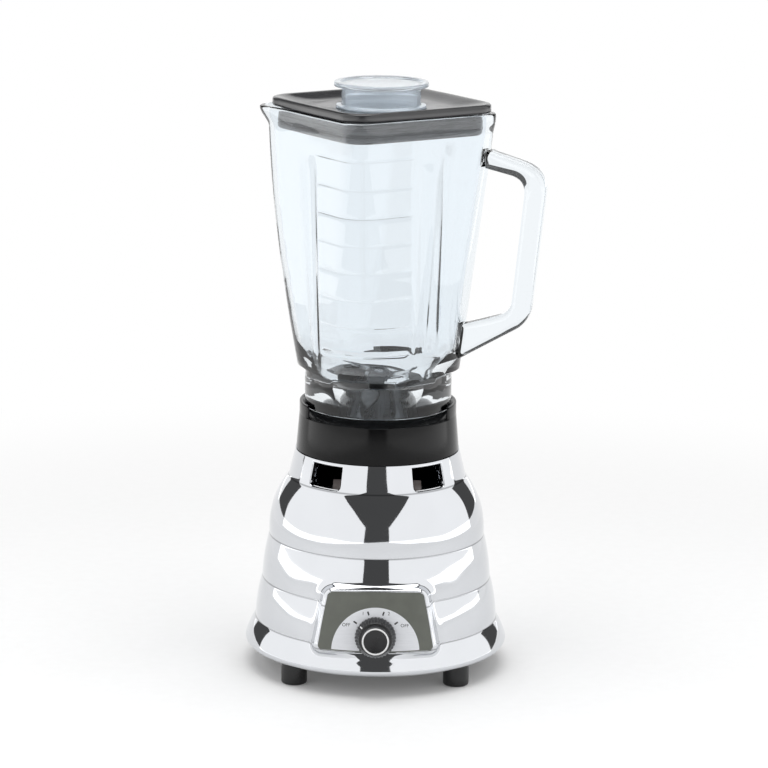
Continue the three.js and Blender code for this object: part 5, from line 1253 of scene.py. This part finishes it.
def handle_part():
    """The glass handle: a thick C in the plane of one corner, with well rounded edges."""
    corners = [(reach, GLASS_BOTTOM + rise, rounding) for reach, rise, rounding in HANDLE_OUTLINE]
    handle = extruded(rounded(corners, 10, closed=True), -HANDLE_HALF, HANDLE_HALF, HANDLE_ROUNDING, 5)
    return moved(handle, Matrix.Rotation(math.pi / 2, 4, "X"))


class BLENDER_LOOKS_OT_jar(bpy.types.Operator):
    """Build the square glass jar with its flutes, spout and corner handle"""

    bl_idname = "blender_looks.jar"
    bl_label = "Glass Jar"

    def execute(self, context):
        settings = settings_of(context).jar
        outside = glass_outside(settings.line_relief / MM)
        part = combined("DIFFERENCE", combined("UNION", outside, handle_part()), glass_inside())
        glass = clear_finish("jar_glass", settings.glass, 1.5, 14.0, 0.0006, (1.0, 1.0, 0.5))
        turned = moved(part, Matrix.Rotation(JAR_TURN, 4, "Z"))
        piece("glass_jar", turned, "jar", glass, ["jar_glass"], sharp=50.0)
        return {"FINISHED"}


def jar_base_part():
    """The ring under the jar: a bore for the neck, a floor with a hole, and grip ribs round the outside."""
    low, high = JAR_BASE_BOTTOM, JAR_BASE_TOP
    outer, bore, hole = 43.4, 37.3, 24.0
    count = JAR_BASE_RIBS * RIB_POINTS
    inside = rounded([(bore, high - 0.4), (bore, low + 4.0, 0.3), (hole, low + 4.0, 0.5), (hole, low, 0.5),
                      (41.8, low)])
    grip = [(42.6, low + 0.2, 0.0), (outer, low + 1.0, 0.3), (outer, low + 3.0, 0.9),
            (outer, high - 7.0, 0.9), (outer, high - 5.5, 0.3), (outer, high - 5.0, 0.0)]
    top = rounded([(outer, high - 4.0), (outer, high, 0.7), (bore, high, 0.4), (bore, high - 0.3)])
    rings = rings_of(inside, count) + ribbed_rings(grip, JAR_BASE_RIBS) + rings_of(top, count)
    return skin(rings, closed=True)


class BLENDER_LOOKS_OT_jar_base(bpy.types.Operator):
    """Build the base ring of the jar with its grip ribs"""

    bl_idname = "blender_looks.jar_base"
    bl_label = "Jar Base"

    def execute(self, context):
        settings = settings_of(context).collar
        black = finish("jar_base_plastic", settings.black, 0.2, grain=1300.0, depth=0.00001,
                       Specular_IOR_Level=0.3)
        piece("jar_base_ring", jar_base_part(), "jar", black, ["jar_base_cap"])
        return {"FINISHED"}


# ---------------- lid and filler cap

def square_ring(half_width, corner, z, bow=0.0):
    """A level square ring with round corners towards the handle and the spout."""
    diagonal = half_width * math.sqrt(2) - corner * (math.sqrt(2) - 1)
    return level_ring([square_radius(angle, half_width, diagonal) + bow * math.sin(2 * angle) ** 2
                       for angle in JAR_ANGLES], z)


def lid_part():
    """The lid's plate: a soft square edge and a ramp down to the filler hole's seat."""
    dish = LID_BASE + 1.0
    under = dish - 2.6
    rings = [square_ring(LID_INNER, INNER_CORNER, LID_BASE)]
    rings += [square_ring(LID_HALF - inset, LID_CORNER + wider, LID_BASE + rise, LID_BOW * bow)
              for inset, wider, rise, bow in LID_EDGE]
    for level, circles in ((dish, LID_SEAT), (under, LID_UNDER)):
        rings += [level_ring(radius, level + rise) for radius, rise in circles]
    rings.append(square_ring(LID_INNER - RIM_INSET, RIM_CORNER, under))
    return skin(rings, closed=True)


def skirt_part():
    """The lid's skirt, which hangs inside the glass and has two shallow sealing grooves."""
    under, bottom = LID_BASE - 1.6, LID_BASE - 14.0
    rings = [square_ring(LID_INNER, INNER_CORNER, LID_BASE - 0.05),
             square_ring(LID_INNER - RIM_INSET, RIM_CORNER, under - 0.05),
             square_ring(LID_INNER - 2.4, RIM_CORNER, under - 2.2)]
    rings += [square_ring(LID_INNER - inset, corner, bottom + rise) for inset, corner, rise in SKIRT_FACE]
    return skin(rings, closed=True)


class BLENDER_LOOKS_OT_lid(bpy.types.Operator):
    """Build the charcoal lid with its inner skirt"""

    bl_idname = "blender_looks.lid"
    bl_label = "Lid"

    def execute(self, context):
        settings = settings_of(context).lid
        charcoal = finish("lid_plastic", settings.charcoal, 0.22, patch=60.0, grain=1400.0, depth=0.00002,
                          stretch=(1.0, 1.0, 6.0), Coat_Weight=0.3, Coat_Roughness=0.08)
        # Painted sheen: the skirt's light grey and its streaks stand in for the softboxes' reflection
        painted_sheen_skirt = finish("lid_skirt_painted_sheen", settings.skirt, 0.3, patch=60.0, grain=700.0, depth=0.00004,
                      tone=0.3, stretch=(1.0, 1.0, 14.0), Coat_Weight=0.3, Coat_Roughness=0.1)
        turn = Matrix.Rotation(JAR_TURN, 4, "Z")
        piece("lid_moulding", moved(lid_part(), turn), "lid", charcoal, ["lid"])
        piece("lid_skirt", moved(skirt_part(), turn), "lid", painted_sheen_skirt)
        return {"FINISHED"}


class BLENDER_LOOKS_OT_filler_cap(bpy.types.Operator):
    """Build the clear filler cap"""

    bl_idname = "blender_looks.filler_cap"
    bl_label = "Filler Cap"

    def execute(self, context):
        settings = settings_of(context).lid
        top = CAP_TOP
        seat = top - 16.9
        profile = rounded([
            (0, top - 1.2), (26.4, top - 1.2, 0.5), (27.6, top, 0.5), (31.0, top, 0.9),
            (31.4, top - 1.5, 0.5),
            (31.0, top - 3.0, 0.7), (26.0, top - 3.3, 0.7), (26.0, seat + 1.8, 0.6), (29.5, seat + 1.6, 0.5),
            (29.8, seat + 0.1, 0.4), (26.0, seat, 0.3), (25.4, seat - 11.0, 0.6), (23.4, seat - 11.0, 0.6),
            (24.0, top - 3.6, 1.6), (0, top - 3.6),
        ])
        clear = clear_finish("cap_plastic", settings.cap, 1.49, 40.0, 0.0001,
                             clearness=settings.cap_clearness)
        piece("measuring_cap", revolve(profile, 144), "filler_cap", clear, ["filler_cap"])
        return {"FINISHED"}


# ---------------- carried-over parts

INNER_FINISHES = {
    "black_plastic": dict(base=(0.014, 0.014, 0.015), polish=0.4),
    "black_rubber": dict(base=(0.010, 0.010, 0.011), polish=0.6, depth=0.00004),
    "zinc_steel": dict(base=(0.50, 0.51, 0.53), polish=0.3, metallic=1.0),
    "blade_steel": dict(polish=0.2, metallic=1.0, stretch=(1.0, 6.0, 6.0)),
    "cast_aluminium": dict(base=(0.42, 0.43, 0.44), polish=0.5, metallic=1.0, depth=0.00006),
    "lamination_steel": dict(base=(0.05, 0.05, 0.053), polish=0.45, metallic=0.8, stretch=(1.0, 1.0, 12.0)),
    # The copper is written far darker than bare copper: painted shade for the winding deep inside the housing
    "winding_copper": dict(base=(0.09, 0.035, 0.02), polish=0.4, metallic=0.4, depth=0.0001,
                           stretch=(1.0, 1.0, 4.0)),
    "bearing_bronze": dict(base=(0.36, 0.21, 0.08), polish=0.35, metallic=1.0),
    "carbon": dict(base=(0.016, 0.016, 0.018), polish=0.7),
    "brown_insulation": dict(base=(0.13, 0.06, 0.03), polish=0.6),
    "dial_print": dict(base=(0.105, 0.110, 0.095), polish=0.4),
}
EDGE_WIDTH = 0.15
EDGE_ANGLE = math.radians(35)


def soften_edges(obj):
    """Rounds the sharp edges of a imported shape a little, so that they catch the light."""
    bevel = obj.modifiers.new("soft_edges", "BEVEL")
    bevel.width = EDGE_WIDTH * MM
    bevel.segments = 2
    bevel.limit_method = "ANGLE"
    bevel.angle_limit = EDGE_ANGLE
    bevel.harden_normals = False


class BLENDER_LOOKS_OT_inner_parts(bpy.types.Operator):
    """Finish the motor, switch, fasteners and blade unit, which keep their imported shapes"""

    bl_idname = "blender_looks.inner_parts"
    bl_label = "Inner Parts"

    def execute(self, context):
        settings = settings_of(context).blade
        looks = {**INNER_FINISHES, "blade_steel": {**INNER_FINISHES["blade_steel"], "base": settings.steel}}
        made = {}
        for entry in frame["record"]["subparts"]:
            obj, slot_name = frame["nodes"][entry["node"]], entry["material_slot"]
            if obj.hide_render:
                continue
            if slot_name not in made:
                made[slot_name] = finish(f"{slot_name}_finish", **looks[slot_name])
            obj.data.materials.clear()
            obj.data.materials.append(made[slot_name])
            soften_edges(obj)
        return {"FINISHED"}


# ---------------- stage

def studio_world(settings):
    """The dim, even room that the softboxes stand in."""
    world = bpy.data.worlds.new("studio")
    world.use_nodes = True
    background = world.node_tree.nodes["Background"]
    background.inputs["Color"].default_value = (1.0, 1.0, 1.0, 1.0)
    background.inputs["Strength"].default_value = settings.room
    return world


def floor_finish(settings):
    """Pale paper, lifted to white for what is seen directly, in metal or through glass."""
    material = finish("floor_paper", settings.floor_colour, 0.9, grain=900.0, tone=0.01)
    nodes = Nodes(material)
    inputs = nodes.shader.inputs
    path = nodes.add("ShaderNodeLightPath").outputs
    seen = nodes.math("MAXIMUM", path["Is Camera Ray"], path["Is Glossy Ray"])
    seen = nodes.math("MAXIMUM", seen, path["Is Transmission Ray"])
    inputs["Emission Color"].default_value = (1.0, 1.0, 1.0, 1.0)
    nodes.put(nodes.math("MULTIPLY", seen, settings.floor_lift), inputs["Emission Strength"])

    # Past the object's shadow it is seen as plain white, whatever falls on it
    distance = nodes.result("ShaderNodeVectorMath", "Value", {0: nodes.place()}, operation="LENGTH")
    far = nodes.smooth(distance, *SHADOW_SPAN)
    nodes.choose(nodes.math("MULTIPLY", seen, far), nodes.shader, nodes.add("ShaderNodeEmission"))
    return material


def studio_floor(settings):
    """A wide level floor round the drive axis."""
    axis_x, axis_y = AXIS * MM
    half = settings.floor_half_width
    mesh = bpy.data.meshes.new("floor")
    corners = [(axis_x + right * half, axis_y + back * half, FLOOR_Z) for right, back in CORNER_SIGNS]
    mesh.from_pydata(corners, [], [(0, 1, 2, 3)])
    mesh.materials.append(floor_finish(settings))
    return bpy.data.objects.new("floor", mesh)


def softbox(name, place, size, strength, facing):
    """A rectangular lamp of even brightness: its place in metres from the drive axis, its size as level
    width and height, and the way it faces."""
    lamp = bpy.data.lights.new(name, "AREA")
    lamp.shape = "RECTANGLE"
    lamp.size, lamp.size_y = size
    lamp.energy = strength * math.pi * size[0] * size[1]
    holder = bpy.data.objects.new(name, lamp)
    holder.rotation_euler = Vector(facing).to_track_quat("-Z", "Y").to_euler()
    holder.location = Vector(place) + Vector((AXIS[0] * MM, AXIS[1] * MM, 0))
    holder.visible_camera = False
    holder.visible_transmission = False
    return holder


def studio_lamps(settings):
    """The softboxes at the sides, above and behind."""
    middle, half_height = settings.box_back - settings.box_length / 2, settings.box_height / 2
    side_size = (settings.box_length, settings.box_height)
    rear_size = (settings.rear_width, settings.rear_height)
    rear_place = (0, settings.rear_distance, settings.rear_height / 2)
    overhead_place = (0, 0, settings.overhead_height)
    lamps = [softbox("overhead_softbox", overhead_place, OVERHEAD_SIZE, settings.overhead, (0, 0, -1)),
             softbox("rear_softbox", rear_place, rear_size, settings.rear, (0, -1, 0))]
    for name, way in (("left_softbox", -1), ("right_softbox", 1)):
        place = (way * settings.box_distance, middle, half_height)
        lamps.append(softbox(name, place, side_size, settings.softbox, (-way, 0, 0)))
    return lamps


def studio_camera(settings):
    """The camera, in front of the drive axis."""
    camera = bpy.data.cameras.new("product_camera")
    camera.lens = settings.focal_length
    camera.sensor_width = SENSOR_WIDTH
    camera.clip_end = VIEW_DEPTH
    holder = bpy.data.objects.new("product_camera", camera)
    turn = Matrix.Rotation(-settings.camera_yaw, 4, "Z")
    tilt = Matrix.Rotation(math.pi / 2 - settings.camera_pitch, 4, "X")
    roll = Matrix.Rotation(settings.camera_roll, 4, "Z")
    axis_x, axis_y = AXIS * MM
    place = Vector((axis_x, axis_y - settings.camera_distance, settings.camera_height))
    holder.matrix_world = Matrix.Translation(place) @ turn @ tilt @ roll
    return holder


class BLENDER_LOOKS_OT_stage(bpy.types.Operator):
    """Set up the floor, the soft studio light, the camera and the colour view"""

    bl_idname = "blender_looks.stage"
    bl_label = "Stage"

    def execute(self, context):
        settings = settings_of(context).studio
        scene = context.scene
        scene.world = studio_world(settings)
        scene.view_settings.view_transform = "Standard"
        floor, camera = studio_floor(settings), studio_camera(settings)
        for obj in (floor, *studio_lamps(settings), camera):
            context.collection.objects.link(obj)
        scene.camera = camera
        return {"FINISHED"}


# ---------------- panel and registration

BUILD_STEPS = (
    BLENDER_LOOKS_OT_stage,
    BLENDER_LOOKS_OT_housing,
    BLENDER_LOOKS_OT_dial,
    BLENDER_LOOKS_OT_knob,
    BLENDER_LOOKS_OT_collar,
    BLENDER_LOOKS_OT_feet,
    BLENDER_LOOKS_OT_jar,
    BLENDER_LOOKS_OT_jar_base,
    BLENDER_LOOKS_OT_lid,
    BLENDER_LOOKS_OT_filler_cap,
    BLENDER_LOOKS_OT_inner_parts,
)


class VIEW3D_PT_blender_looks(bpy.types.Panel):
    """The sizes, colours and building steps of the blender's looks"""

    bl_label = "Countertop Blender"
    bl_space_type = "VIEW_3D"
    bl_region_type = "UI"
    bl_category = "Blender Looks"

    def draw(self, context):
        """Lists the building steps, then the settings of each part."""
        settings = settings_of(context)
        for step in BUILD_STEPS:
            self.layout.operator(step.bl_idname)
        for name in settings.bl_rna.properties.keys():
            group = getattr(settings, name, None)
            if not isinstance(group, bpy.types.PropertyGroup):
                continue
            box = self.layout.box()
            box.label(text=name.title())
            for entry in group.bl_rna.properties.keys():
                if entry not in ("rna_type", "name"):
                    box.prop(group, entry)


CLASSES = (
    StudioSettings, HousingSettings, DialSettings, KnobSettings, CollarSettings, FootSettings, JarSettings,
    BladeSettings, LidSettings, BlenderLooksSettings, *BUILD_STEPS, VIEW3D_PT_blender_looks,
)


def register():
    """Adds the settings, the building steps and the panel to Blender."""
    for entry in CLASSES:
        bpy.utils.register_class(entry)
    bpy.types.Scene.blender_looks = PointerProperty(type=BlenderLooksSettings)


def unregister():
    """Takes them out again."""
    del bpy.types.Scene.blender_looks
    for entry in reversed(CLASSES):
        bpy.utils.unregister_class(entry)


def main():
    """Builds every part in turn."""
    register()
    for step in BUILD_STEPS:
        category, name = step.bl_idname.split(".")
        getattr(getattr(bpy.ops, category), name)()


if __name__ == "__main__":
    main()
